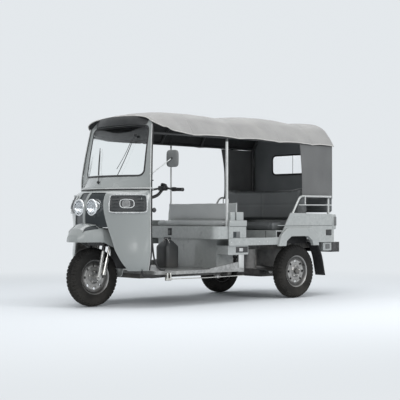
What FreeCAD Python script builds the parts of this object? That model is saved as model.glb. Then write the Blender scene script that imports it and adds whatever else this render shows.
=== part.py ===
import FreeCAD, Part
import math
import os

import Sketcher

# An open three wheeled taxi: a narrow cab for the driver, a wider tub for the passengers and
# the engine, and a cloth hood on a tube frame. Millimetres, +X forward, +Y left, +Z up. The
# origin is on the ground, under the middle of the vehicle.

SIZES = {
    # Running clearances and walls
    "fit_gap": 0.3,
    "panel_wall": 12,
    "sheet_wall": 8,
    "overrun": 40,
    # Wheels
    "wheel_base": 2205,
    "rear_setback": 880,
    "track_half": 547,
    "tyre_radius": 275,
    "tyre_width": 118,
    "tread_width": 84,
    "tread_drop": 9,
    "bead_radius": 160,
    "bead_width": 92,
    "shoulder_round": 16,
    "flange_radius": 171,
    "rim_width": 100,
    "rim_well_radius": 140,
    "rim_well_width": 52,
    "rim_wall": 5,
    "disc_radius": 62,
    "disc_offset": 22,
    "disc_wall": 8,
    "hub_radius": 44,
    "hub_half": 40,
    "hub_cap_radius": 26,
    "hub_cap_length": 18,
    "spindle_radius": 12,
    "bore_gap": 0.5,
    "hand_hole_radius": 13,
    "hand_hole_ring": 105,
    "hand_hole_count": 8,
    # Steering
    "steer_foot_x": 1300,
    "steer_rake": 27,
    "steerer_radius": 16,
    "head_tube_radius": 29,
    "head_tube_start": 390,
    "head_tube_length": 410,
    "steerer_start": 320,
    "steerer_top": 905,
    "fork_half": 100,
    "fork_tube_radius": 17,
    "fork_top_x": 1258,
    "fork_top_z": 583,
    "yoke_height": 30,
    "yoke_front_margin": 26,
    "yoke_rear_margin": 40,
    "yoke_side_margin": 5,
    "yoke_round": 12,
    "lug_radius": 28,
    "lug_wall": 12,
    "damper_top_x": 1190,
    "damper_foot_x": 1268,
    "damper_foot_z": 296,
    "damper_radius": 15,
    "damper_sleeve_radius": 21,
    "damper_sleeve_share": 0.55,
    "bar_head_x": 600,
    "bar_height": 1104,
    "bar_radius": 13,
    "bar_knee_x": 505,
    "bar_knee_y": 195,
    "bar_end_x": 452,
    "bar_end_y": 345,
    "bar_bend": 60,
    "grip_radius": 18,
    "grip_length": 125,
    "bar_hub_radius": 34,
    "bar_hub_height": 52,
    # Cab shell
    "cab_door_x": 1045,
    "cab_half": 520,
    "cab_floor_half": 488,
    "cab_bottom": 340,
    "cab_waist": 1088,
    "nose_bottom_x": 1345,
    "nose_low_x": 1392,
    "nose_x": 1420,
    "nose_shoulder_x": 1385,
    "nose_waist_x": 1302,
    "nose_low_z": 560,
    "nose_z": 905,
    "nose_shoulder_z": 1010,
    "screen_sill_z": 1212,
    "screen_sill_x": 1192,
    "screen_mid_z": 1450,
    "screen_mid_x": 1102,
    "screen_mid_half": 494,
    "screen_mid_door_x": 1016,
    "screen_top_z": 1700,
    "screen_top_x": 1012,
    "screen_top_half": 462,
    "screen_top_door_x": 976,
    "cab_roof_z": 1762,
    "cab_roof_x": 988,
    "cab_roof_half": 400,
    "cab_roof_door_x": 955,
    "waist_lip": 9,
    "waist_lip_height": 16,
    "waist_groove": 8,
    # Windscreen
    "screen_half_low": 438,
    "screen_half_high": 424,
    "screen_round": 62,
    "gasket_width": 17,
    "gasket_proud": 3,
    "glass_wall": 5,
    # Nose mask, lamps
    "ridge_half": 15,
    "mask_top_z": 1062,
    "mask_tip_y": 176,
    "mask_mid_y": 196,
    "mask_mid_z": 950,
    "mask_low_y": 246,
    "well_top_z": 740,
    "mask_inset": 9,
    "headlamp_y": 96,
    "headlamp_z": 925,
    "headlamp_radius": 79,
    "headlamp_front_x": 1412,
    "headlamp_depth": 96,
    "headlamp_rim": 9,
    "headlamp_lens_radius": 66,
    "headlamp_lens_bulge": 13,
    "side_lamp_x": 1236,
    "side_lamp_y": 430,
    "side_lamp_z": 960,
    "side_lamp_turn": 49,
    "side_lamp_length": 228,
    "side_lamp_height": 140,
    "side_lamp_depth": 34,
    "side_lamp_round": 30,
    "side_lamp_frame": 11,
    "louvre_height": 9,
    "louvre_count": 6,
    "indicator_length": 92,
    "indicator_height": 58,
    "indicator_ring": 7,
    # Wheel well, fender
    "well_rear_x": 985,
    "well_slope_z": 536,
    "well_slope_y": 300,
    "well_low_z": 375,
    "well_low_y": 385,
    "fender_wall": 7,
    "fender_tip_x": 1576,
    "fender_tip_z": 613,
    "fender_tip_half": 24,
    "fender_lip_z": 603,
    "fender_bow_x": 1556,
    "fender_bow_z": 672,
    "fender_bow_half": 84,
    "fender_brow_x": 1512,
    "fender_brow_z": 730,
    "fender_brow_half": 130,
    "fender_mid_x": 1440,
    "fender_mid_z": 774,
    "fender_mid_half": 166,
    "fender_back_x": 1340,
    "fender_back_z": 796,
    "fender_back_half": 192,
    "fender_tail_x": 1215,
    "fender_tail_z": 796,
    "fender_tail_half": 212,
    "fender_tail_lip": 545,
    "fender_end_x": 1165,
    "fender_end_lip": 470,
    "flap_half": 62,
    "flap_low_z": 278,
    "flap_slant": 24,
    # Roof visor
    "visor_low_z": 1640,
    "visor_high_z": 1792,
    "visor_half": 520,
    "visor_top_half": 480,
    "visor_reach": 92,
    "visor_top_reach": 52,
    "visor_door_x": 930,
    "visor_brow_z": 1706,
    "visor_cheek_y": 452,
    # Floor and driver's place
    "floor_top": 335,
    "floor_wall": 32,
    "floor_rear_x": -110,
    "floor_front_x": 985,
    "floor_half": 600,
    "floor_taper_x": 800,
    "floor_front_half": 505,
    "seat_front_x": 122,
    "seat_rear_x": -108,
    "seat_base_half": 434,
    "seat_base_recess": 30,
    "seat_box_z": 622,
    "seat_box_top": 745,
    "seat_box_half": 596,
    "pod_front_x": 291,
    "pod_inner_y": 390,
    "pod_low_z": 562,
    "pod_round": 70,
    "cushion_front_x": 104,
    "cushion_half": 486,
    "cushion_top_z": 802,
    "cushion_round": 22,
    "back_face_x": -80,
    "back_rear_x": -106,
    "back_half": 505,
    "back_top_z": 985,
    "back_round": 12,
    "tank_x": 384,
    "tank_length": 176,
    "tank_width": 170,
    "tank_top_z": 606,
    "tank_shoulder": 44,
    "tank_round": 26,
    "filler_radius": 27,
    "filler_height": 30,
    # Dashboard
    "dash_z": 1180,
    "dash_low_z": 1060,
    "dash_rear_x": 968,
    "dash_wall": 10,
    # Tub
    "tub_half": 610,
    "tub_rear_x": -1465,
    "tub_bottom": 570,
    "sill_bottom": 556,
    "sill_top": 632,
    "post_panel_x": 122,
    "post_panel_rear_x": -115,
    "post_panel_top": 800,
    "quarter_foot_x": -612,
    "quarter_top_x": -775,
    "quarter_top": 880,
    "quarter_tail_z": 868,
    "quarter_tail_cut": 26,
    "arch_half": 221,
    "arch_top": 639,
    "arch_shoulder": 92,
    "arch_shoulder_drop": 46,
    "flare_half": 312,
    "flare_top": 721,
    "flare_shoulder": 128,
    "flare_shoulder_drop": 70,
    "flare_bottom": 541,
    "flare_out": 32,
    "flare_round": 9,
    "deck_front_x": -575,
    "deck_z": 700,
    "deck_rear_x": -1130,
    "shelf_z": 868,
    "floor_passenger_rear_x": -575,
    "bench_front_x": -548,
    "bench_rear_x": -1040,
    "bench_half": 560,
    "bench_top_z": 780,
    "bench_round": 34,
    "rest_top_z": 1150,
    "rest_front_low_x": -985,
    "rest_front_high_x": -1075,
    "rest_round": 26,
    # Engine lid
    "lid_half": 380,
    "lid_low_z": 596,
    "lid_high_z": 842,
    "lid_gap": 5,
    "lid_wall": 10,
    "lid_hinge_radius": 6,
    "lid_hinge_out": 7,
    "lid_hinge_half": 120,
    "lid_handle_width": 90,
    "lid_handle_out": 16,
    "lid_handle_height": 16,
    # Rear end
    "bumper_front_x": -1450,
    "bumper_rear_x": -1600,
    "bumper_low_z": 462,
    "bumper_high_z": 568,
    "bumper_half": 590,
    "bumper_round": 34,
    "mudflap_x": -1366,
    "mudflap_wall": 8,
    "mudflap_inner_y": 456,
    "mudflap_outer_y": 606,
    "mudflap_low_z": 216,
    "tail_lamp_low_z": 742,
    "tail_lamp_high_z": 846,
    "tail_lamp_width": 96,
    "tail_lamp_inner_y": 486,
    "tail_lamp_out": 38,
    "tail_lamp_round": 16,
    "tow_x": -1520,
    "tow_z": 430,
    "tow_bore": 14,
    "tow_radius": 32,
    "tow_wall": 14,
    # Chassis
    "rail_y": 330,
    "rail_width": 50,
    "rail_height": 52,
    "low_rail_y": 250,
    "low_rail_bottom": 258,
    "cross_width": 44,
    "strut_radius": 15,
    "strut_foot_x": 925,
    "strut_foot_y": 150,
    "strut_meet": 700,
    "arm_pivot_x": -470,
    "arm_pivot_z": 330,
    "arm_pivot_y": 330,
    "arm_pivot_half": 45,
    "arm_radius": 24,
    "arm_hub_y": 440,
    "carrier_radius": 98,
    "carrier_wall": 18,
    "carrier_y": 461,
    "shaft_radius": 15,
    "joint_radius": 38,
    "joint_length": 60,
    "spring_x": -950,
    "spring_y": 400,
    "spring_foot_z": 345,
    "spring_radius": 42,
    "spring_core_radius": 15,
    "spring_turns": 7,
    "engine_front_x": -770,
    "engine_rear_x": -1310,
    "engine_half": 165,
    "engine_low_z": 205,
    "engine_high_z": 560,
    "engine_round": 30,
    "muffler_x": -1250,
    "muffler_z": 300,
    "muffler_radius": 62,
    "muffler_length": 300,
    "muffler_round": 18,
    "toolbox_front_x": 118,
    "toolbox_rear_x": -165,
    "toolbox_low_z": 466,
    "toolbox_outer_y": 590,
    "toolbox_round": 10,
    "cleaner_x": -258,
    "cleaner_y": 480,
    "cleaner_low_z": 325,
    "cleaner_radius": 84,
    "cleaner_high_z": 515,
    "cleaner_round": 14,
    "fairing_front_x": 370,
    "fairing_rear_x": -20,
    "fairing_rear_top": 397,
    # Roof frame, hood
    "post_radius": 14,
    "post_x": 110,
    "post_y": 565,
    "rear_post_x": -1430,
    "roof_rail_z": 1612,
    "roof_rail_y": 560,
    "roof_rail_front_x": 690,
    "roof_rail_radius": 12,
    "bow_gap": 0.4,
    "bow_radius": 11,
    "bow_spring_y": 556,
    "hood_wall": 14,
    "hood_half": 602,
    "hood_front_x": 1012,
    "hood_front_half": 552,
    "hood_front_hem": 1677,
    "hood_front_crown": 1806,
    "hood_second_x": 575,
    "hood_second_hem": 1622,
    "hood_second_crown": 1864,
    "hood_third_x": -24,
    "hood_third_hem": 1615,
    "hood_third_crown": 1847,
    "hood_bow_x": -608,
    "hood_bow_hem": 1608,
    "hood_bow_crown": 1888,
    "hood_dip_x": -1130,
    "hood_dip_hem": 1602,
    "hood_dip_crown": 1856,
    "hood_rear_x": -1492,
    "hood_rear_hem": 1600,
    "hood_rear_crown": 1880,
    "curtain_wall": 7,
    "curtain_front_low_x": -980,
    "curtain_front_high_x": -944,
    "curtain_rear_x": -1472,
    "curtain_low_z": 1040,
    "curtain_high_z": 1598,
    "back_window_half": 293,
    "back_window_low": 1307,
    "back_window_high": 1535,
    "back_window_round": 60,
    "back_curtain_low": 884,
    "rail_foot_x": -816,
    "rail_top_z": 1054,
    "rail_mid_z": 961,
    "rail_bend_x": -932,
    "rail_tube_radius": 11,
    "rail_bend": 90,
    "grab_y": 598,
    # Mirrors, wipers
    "mirror_foot_z": 1226,
    "mirror_x": 910,
    "mirror_y": 640,
    "mirror_z": 1375,
    "mirror_width": 112,
    "mirror_height": 155,
    "mirror_wall": 16,
    "mirror_round": 24,
    "mirror_stalk_radius": 6,
    "wiper_radius": 5,
    "wiper_lift": 9,
    "wiper_pivot_radius": 12,
    # Under the floor
    "pipe_radius": 15,
    "pipe_y": 180,
    "pipe_front_x": 900,
    "pipe_dip_x": 700,
    "pipe_dip_z": 238,
    "rod_radius": 5,
    "rod_y": 420,
    "rod_z": 262,
    "rod_front_x": 850,
    "rod_rear_x": -210,
    "pedal_x": 780,
    "pedal_y": 150,
    "pedal_width": 64,
    "pedal_top_z": 420,
}

# Outlines as shares. The cab's plan, from the door's edge to the middle of the nose: how far
# forward, and how far out.
BOW_SHARES = ((0, 1), (0.26, 0.97), (0.49, 0.85), (0.68, 0.65), (0.80, 0.44), (0.92, 0.20), (1, 0))
WAIST_SHARES = ((0, 1), (0.12, 0.93), (0.27, 0.83), (0.54, 0.62), (0.77, 0.42), (0.95, 0.20), (1, 0))
SCREEN_SHARES = ((0, 1), (0.02, 0.93), (0.09, 0.83), (0.50, 0.62), (0.77, 0.42), (0.95, 0.20), (1, 0))
# The hood's section, from the hem to the crown: how far out, and how far up.
HOOD_SHARES = ((1, 0), (0.93, 0.24), (0.86, 0.47), (0.755, 0.76), (0.60, 0.91), (0.34, 0.975), (0, 1))
# The fender's section, from the lip to the crown.
FENDER_SHARES = ((1, 0), (0.985, 0.40), (0.85, 0.74), (0.50, 0.94), (0, 1))
# The wipers: pivot and tip, each as a share of the screen's half width and of its height.
WIPER_SHARES = (((-0.02, 0.04), (-0.02, 0.52)), ((-0.42, 0.05), (-0.86, 0.62)))
LENGTHWISE = FreeCAD.Vector(1, 0, 0)
SIDEWAYS = FreeCAD.Vector(0, 1, 0)
UPWARD = FreeCAD.Vector(0, 0, 1)


class Size:
    """A value of the sheet, or a sum of such values, with the expression that gives it."""

    def __init__(self, text, value):
        self.text = text
        self.value = float(value)

    def __float__(self):
        return self.value

    def __add__(self, other):
        return Size(f"({self.text} + {text_of(other)})", self.value + float(other))

    def __radd__(self, other):
        return Size(f"({text_of(other)} + {self.text})", float(other) + self.value)

    def __sub__(self, other):
        return Size(f"({self.text} - {text_of(other)})", self.value - float(other))

    def __rsub__(self, other):
        return Size(f"({text_of(other)} - {self.text})", float(other) - self.value)

    def __mul__(self, other):
        return Size(f"({self.text} * {text_of(other)})", self.value * float(other))

    def __rmul__(self, other):
        return Size(f"({text_of(other)} * {self.text})", float(other) * self.value)

    def __truediv__(self, other):
        return Size(f"({self.text} / {text_of(other)})", self.value / float(other))

    def __neg__(self):
        return Size(f"(-1 * {self.text})", -self.value)


class Sheet:
    """The sizes by name, as attributes, read back from the spreadsheet."""

    def __init__(self, sheet, names):
        for name in names:
            setattr(self, name, Size(f"Sizes.{name}", sheet.get(name)))


def text_of(value):
    """The expression of a size, or of a plain number."""
    if isinstance(value, Size):
        return value.text
    return repr(float(value))


def vec(x, y, z):
    """A vector from sizes or numbers."""
    return FreeCAD.Vector(float(x), float(y), float(z))


doc = FreeCAD.newDocument("ThreeWheeler")
sizes_sheet = doc.addObject("Spreadsheet::Sheet", "Sizes")
for row, (size_name, size_value) in enumerate(SIZES.items(), 1):
    sizes_sheet.set(f"A{row}", size_name)
    sizes_sheet.set(f"B{row}", str(size_value))
    sizes_sheet.setAlias(f"B{row}", size_name)
doc.recompute()
D = Sheet(sizes_sheet, SIZES)
nodes = []


def keep(item, name):
    """Give a finished sub-part its name and put it among those that are written."""
    item.Label = name
    nodes.append(item)
    return item


def bind(item, **values):
    """Tie properties of an object to sizes."""
    for name, value in values.items():
        item.setExpression(name, text_of(value))


def put(item, x, y, z, axis=UPWARD, angle=0):
    """Place an object, with its base tied to sizes."""
    item.Placement = FreeCAD.Placement(vec(x, y, z), FreeCAD.Rotation(axis, float(angle)))
    item.setExpression("Placement.Base.x", text_of(x))
    item.setExpression("Placement.Base.y", text_of(y))
    item.setExpression("Placement.Base.z", text_of(z))
    return item


def box(name, low, high):
    """A block between two corners, tied to sizes."""
    block = doc.addObject("Part::Box", name)
    bind(block, Length=high[0] - low[0], Width=high[1] - low[1], Height=high[2] - low[2])
    return put(block, *low)


def cylinder(name, axis, start, radius, length):
    """A round bar from a point along X, Y or Z, tied to sizes."""
    bar = doc.addObject("Part::Cylinder", name)
    bind(bar, Radius=radius, Height=length)
    turns = {"X": (SIDEWAYS, 90), "Y": (LENGTHWISE, -90), "Z": (UPWARD, 0)}
    return put(bar, *start, *turns[axis])


def fuse(name, *items):
    """One object from several."""
    joined = doc.addObject("Part::MultiFuse", name)
    joined.Shapes = list(items)
    joined.Refine = True
    return joined


def cut(name, base, tool):
    """One object with another taken out of it."""
    left = doc.addObject("Part::Cut", name)
    left.Base = base
    left.Tool = tool
    left.Refine = True
    return left


def set_piece(name, *items):
    """Solids that lie apart in one sub-part, such as a left and a right one."""
    group = doc.addObject("Part::Compound", name)
    group.Links = list(items)
    return keep(group, name)


def shaped(name, shape):
    """A sub-part whose form is a loft, a sweep or a trimmed skin."""
    item = doc.addObject("Part::Feature", name)
    item.Shape = shape
    return item


def sketch_on(body, plane, points, height, name):
    """A closed outline on one of the body's own planes, each corner tied to sizes."""
    sketch = body.newObject("Sketcher::SketchObject", name)
    support = [item for item in body.Origin.OriginFeatures if item.Role == plane][0]
    sketch.AttachmentSupport = [(support, "")]
    sketch.MapMode = "FlatFace"
    corners = [vec(a, b, 0) for a, b in points]
    count = len(corners)
    for index in range(count):
        sketch.addGeometry(Part.LineSegment(corners[index], corners[(index + 1) % count]), False)
    for index in range(count):
        sketch.addConstraint(Sketcher.Constraint("Coincident", index, 2, (index + 1) % count, 1))
    for index, (a, b) in enumerate(points):
        for kind, value in (("DistanceX", a), ("DistanceY", b)):
            number = sketch.addConstraint(Sketcher.Constraint(kind, index, 1, float(value)))
            sketch.setExpression(f"Constraints[{number}]", text_of(value))
    sketch.setExpression("AttachmentOffset.Base.z", text_of(height))
    return sketch


def padded(name, plane, points, low, high):
    """A body padded from an outline, between two places along the plane's own axis."""
    body = doc.addObject("PartDesign::Body", name)
    height = -high if plane == "XZ_Plane" else low
    sketch = sketch_on(body, plane, points, height, name + "_outline")
    pad = body.newObject("PartDesign::Pad", name + "_pad")
    pad.Profile = sketch
    pad.setExpression("Length", text_of(high - low))
    doc.recompute()
    return body


def pocket(body, plane, points, low, high, name):
    """A pocket through a body, between two places along the plane's own axis."""
    height = -low if plane == "XZ_Plane" else high
    sketch = sketch_on(body, plane, points, height, name + "_outline")
    hole = body.newObject("PartDesign::Pocket", name)
    hole.Profile = sketch
    hole.setExpression("Length", text_of(high - low))
    before = body.Shape.Volume
    doc.recompute()
    if body.Shape.Volume >= before:
        raise RuntimeError(name + " takes nothing away")
    return body


def rounded(body, radius, axis=None, test=None):
    """Round those edges of a body that run along an axis, or all that pass a test."""
    tip = body.Tip
    edges = []
    for index, edge in enumerate(tip.Shape.Edges, 1):
        straight = edge.Curve.TypeId == "Part::GeomLine"
        along = axis is None or (straight and abs(edge.tangentAt(edge.FirstParameter).dot(axis)) > 0.99)
        if along and (test is None or test(edge)):
            edges.append(f"Edge{index}")
    fillet = body.newObject("PartDesign::Fillet", body.Name + "_round" + str(len(body.Group)))
    fillet.Base = (tip, edges)
    fillet.setExpression("Radius", text_of(radius))
    doc.recompute()
    return body


def turned(name, points, centre):
    """A body turned about a sideways axis through a centre, from an outline of radius and side."""
    body = doc.addObject("PartDesign::Body", name)
    sketch = sketch_on(body, "XY_Plane", points, Size("0", 0), name + "_outline")
    turn = body.newObject("PartDesign::Revolution", name + "_turn")
    turn.Profile = sketch
    axis = [item for item in body.Origin.OriginFeatures if item.Role == "Y_Axis"][0]
    turn.ReferenceAxis = (axis, [""])
    turn.Angle = 360
    put(body, *centre)
    doc.recompute()
    return body


def bent_tube(points, radius, bend):
    """A round tube along straight runs joined by tangent arcs."""
    corners = [vec(*point) for point in points]
    edges = []
    start = corners[0]
    for index in range(1, len(corners) - 1):
        before = (corners[index - 1] - corners[index]).normalize()
        after = (corners[index + 1] - corners[index]).normalize()
        half_angle = before.getAngle(after) / 2
        run = min((corners[index - 1] - corners[index]).Length, (corners[index + 1] - corners[index]).Length)
        setback = min(float(bend) / math.tan(half_angle), 0.45 * run)
        reach = setback / math.cos(half_angle)
        first = corners[index] + before * setback
        last = corners[index] + after * setback
        middle_way = (before + after).normalize()
        arc_radius = setback * math.tan(half_angle)
        middle = corners[index] + middle_way * (reach - arc_radius)
        edges.append(Part.LineSegment(start, first).toShape())
        edges.append(Part.Arc(first, middle, last).toShape())
        start = last
    edges.append(Part.LineSegment(start, corners[-1]).toShape())
    path = Part.Wire(edges)
    ring = Part.Wire(Part.Circle(corners[0], corners[1] - corners[0], float(radius)).toShape())
    return path.makePipeShell([ring], True, True)


def bar(start, end, radius):
    """A straight round bar between two points."""
    first = vec(*start)
    way = vec(*end) - first
    return Part.makeCylinder(float(radius), way.Length, first, way)


def block(low, high):
    """A plain block between two corners, for trimming."""
    corner = vec(*low)
    size = vec(*high) - corner
    return Part.makeBox(size.x, size.y, size.z, corner)


def prism(points, axis, low, high):
    """A block with an outline across one axis, between two places along it."""
    place = {
        "X": lambda a, b, c: vec(c, a, b),
        "Y": lambda a, b, c: vec(a, c, b),
        "Z": lambda a, b, c: vec(a, b, c),
    }[axis]
    corners = [place(a, b, low) for a, b in points]
    face = Part.Face(Part.makePolygon(corners + corners[:1]))
    return face.extrude(place(0, 0, high) - place(0, 0, low))


def soften(shape, radius, axis):
    """Round the straight edges of a shape that run along an axis."""
    edges = []
    for edge in shape.Edges:
        if edge.Curve.TypeId != "Part::GeomLine":
            continue
        if abs(edge.tangentAt(edge.FirstParameter).dot(axis)) > 0.99:
            edges.append(edge)
    return shape.makeFillet(float(radius), edges)


def mirrored(shape):
    """The same form on the other side of the middle."""
    return shape.mirror(vec(0, 0, 0), SIDEWAYS)


def both_sides(shape):
    """A form and its mirror image, as solids that lie apart."""
    return Part.makeCompound([shape, mirrored(shape)])


def plan_wire(level, shares, inset):
    """The cab's outline at one height: a curved front between the door edges, closed behind."""
    z, half, door_x, nose_x = level
    wide = float(half) - inset
    deep = float(nose_x) - float(door_x) - inset
    side = [vec(float(door_x) + share_x * deep, share_y * wide, z) for share_x, share_y in shares]
    other = [vec(point.x, -point.y, point.z) for point in reversed(side[:-1])]
    front = Part.BSplineCurve()
    front.interpolate(side + other)
    if inset <= 0:
        return Part.Wire([front.toShape(), Part.LineSegment(other[-1], side[0]).toShape()])
    back_x = side[0].x - float(D.overrun)
    right = vec(back_x, -wide, z)
    left = vec(back_x, wide, z)
    return Part.Wire([
        front.toShape(),
        Part.LineSegment(other[-1], right).toShape(),
        Part.LineSegment(right, left).toShape(),
        Part.LineSegment(left, side[0]).toShape(),
    ])


def nose_solid(inset):
    """The cab below its waist, as a solid: a bowed nose that tapers towards the floor."""
    levels = (
        ((D.cab_bottom, D.cab_floor_half, D.cab_door_x, D.nose_bottom_x), BOW_SHARES),
        ((D.nose_low_z, D.cab_half, D.cab_door_x, D.nose_low_x), BOW_SHARES),
        ((D.nose_z, D.cab_half, D.cab_door_x, D.nose_x), BOW_SHARES),
        ((D.nose_shoulder_z, D.cab_half, D.cab_door_x, D.nose_shoulder_x), BOW_SHARES),
        ((D.cab_waist, D.cab_half, D.cab_door_x, D.nose_waist_x), WAIST_SHARES),
    )
    return Part.makeLoft([plan_wire(level, shares, inset) for level, shares in levels], True, False)


def screen_solid(inset):
    """The cab above its waist, as a solid: it leans back and narrows towards the roof."""
    levels = (
        ((D.cab_waist, D.cab_half, D.cab_door_x, D.nose_waist_x), WAIST_SHARES),
        ((D.screen_sill_z, D.cab_half, D.cab_door_x, D.screen_sill_x), SCREEN_SHARES),
        ((D.screen_mid_z, D.screen_mid_half, D.screen_mid_door_x, D.screen_mid_x), SCREEN_SHARES),
        ((D.screen_top_z, D.screen_top_half, D.screen_top_door_x, D.screen_top_x), SCREEN_SHARES),
        ((D.cab_roof_z, D.cab_roof_half, D.cab_roof_door_x, D.cab_roof_x), SCREEN_SHARES),
    )
    return Part.makeLoft([plan_wire(level, shares, inset) for level, shares in levels], True, True)


def front_x(solid, y, z):
    """How far forward a solid reaches at one place across and up."""
    line = Part.makeLine(vec(0, y, z), vec(D.fender_tip_x, y, z))
    return solid.common(line).BoundBox.XMax


def make_wheel(name, x, y, outward):
    """A tyre and a pressed steel wheel about a hub. The disc and the cap face outward."""
    centre = (x, y, D.tyre_radius)
    half = D.tyre_width / 2
    bead = D.bead_width / 2
    tread = D.tread_width / 2
    wall_radius = (D.bead_radius + D.tyre_radius) / 2
    tyre_outline = [
        (D.flange_radius + D.fit_gap, -bead),
        (wall_radius, -half),
        (D.tyre_radius - D.tread_drop * 2, -half + D.tread_drop / 2),
        (D.tyre_radius - D.tread_drop / 2, -tread),
        (D.tyre_radius, Size("0", 0)),
        (D.tyre_radius - D.tread_drop / 2, tread),
        (D.tyre_radius - D.tread_drop * 2, half - D.tread_drop / 2),
        (wall_radius, half),
        (D.flange_radius + D.fit_gap, bead),
    ]
    tyre = turned(name + "_tyre", tyre_outline, centre)
    keep(rounded(tyre, D.tread_drop, test=lambda edge: edge.Length > math.tau * float(wall_radius) * 0.99), name + "_tyre")
    rim_half = D.rim_width / 2
    well_half = D.rim_well_width / 2
    well_out = D.rim_well_radius + D.rim_wall
    disc_in = outward * D.disc_offset
    disc_out = outward * (D.disc_offset + D.disc_wall)
    low, high = (disc_in, disc_out) if outward > 0 else (disc_out, disc_in)
    rim_outline = [
        (D.flange_radius, -rim_half),
        (D.flange_radius, -rim_half + D.rim_wall),
        (well_out, -well_half),
        (well_out, well_half),
        (D.flange_radius, rim_half - D.rim_wall),
        (D.flange_radius, rim_half),
        (D.flange_radius - D.rim_wall, rim_half),
        (D.rim_well_radius, well_half + D.rim_wall),
        (D.rim_well_radius, high),
        (D.disc_radius, high),
        (D.hub_radius, D.hub_half),
        (D.spindle_radius + D.bore_gap, D.hub_half),
        (D.spindle_radius + D.bore_gap, -D.hub_half),
        (D.hub_radius, -D.hub_half),
        (D.disc_radius, low),
        (D.rim_well_radius, low),
        (D.rim_well_radius, -well_half - D.rim_wall),
        (D.flange_radius - D.rim_wall, -rim_half),
    ]
    rim = turned(name + "_rim", rim_outline, centre)
    hole = rim.newObject("Sketcher::SketchObject", name + "_hole_outline")
    plane = [item for item in rim.Origin.OriginFeatures if item.Role == "XZ_Plane"][0]
    hole.AttachmentSupport = [(plane, "")]
    hole.MapMode = "FlatFace"
    hole.addGeometry(Part.Circle(vec(0, D.hand_hole_ring, 0), UPWARD, float(D.hand_hole_radius)), False)
    hole.addConstraint(Sketcher.Constraint("PointOnObject", 0, 3, -2))
    reach = hole.addConstraint(Sketcher.Constraint("DistanceY", 0, 3, float(D.hand_hole_ring)))
    hole.setExpression(f"Constraints[{reach}]", text_of(D.hand_hole_ring))
    width = hole.addConstraint(Sketcher.Constraint("Radius", 0, float(D.hand_hole_radius)))
    hole.setExpression(f"Constraints[{width}]", text_of(D.hand_hole_radius))
    punch = rim.newObject("PartDesign::Pocket", name + "_hole")
    punch.Profile = hole
    punch.Midplane = True
    punch.setExpression("Length", text_of(D.rim_width))
    before = rim.Shape.Volume
    doc.recompute()
    if rim.Shape.Volume >= before:
        raise RuntimeError("the wheel's hand hole takes nothing away")
    ring = rim.newObject("PartDesign::PolarPattern", name + "_holes")
    ring.Originals = [punch]
    axis = [item for item in rim.Origin.OriginFeatures if item.Role == "Y_Axis"][0]
    ring.Axis = (axis, [""])
    ring.Angle = 360
    ring.setExpression("Occurrences", text_of(D.hand_hole_count))
    rim.Tip = ring
    doc.recompute()
    return keep(rim, name + "_rim")


def make_wheels():
    """One steered wheel in front and two behind."""
    make_wheel("front", D.wheel_base - D.rear_setback, Size("0", 0), 1)
    make_wheel("rear_left", -D.rear_setback, D.track_half, 1)
    make_wheel("rear_right", -D.rear_setback, -D.track_half, -1)


def steer_point(along, y=0.0):
    """A point on the steering axis, or beside it."""
    rake = math.radians(float(D.steer_rake))
    return vec(
        float(D.steer_foot_x) - float(along) * math.sin(rake),
        y,
        float(D.tyre_radius) + float(along) * math.cos(rake),
    )


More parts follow.
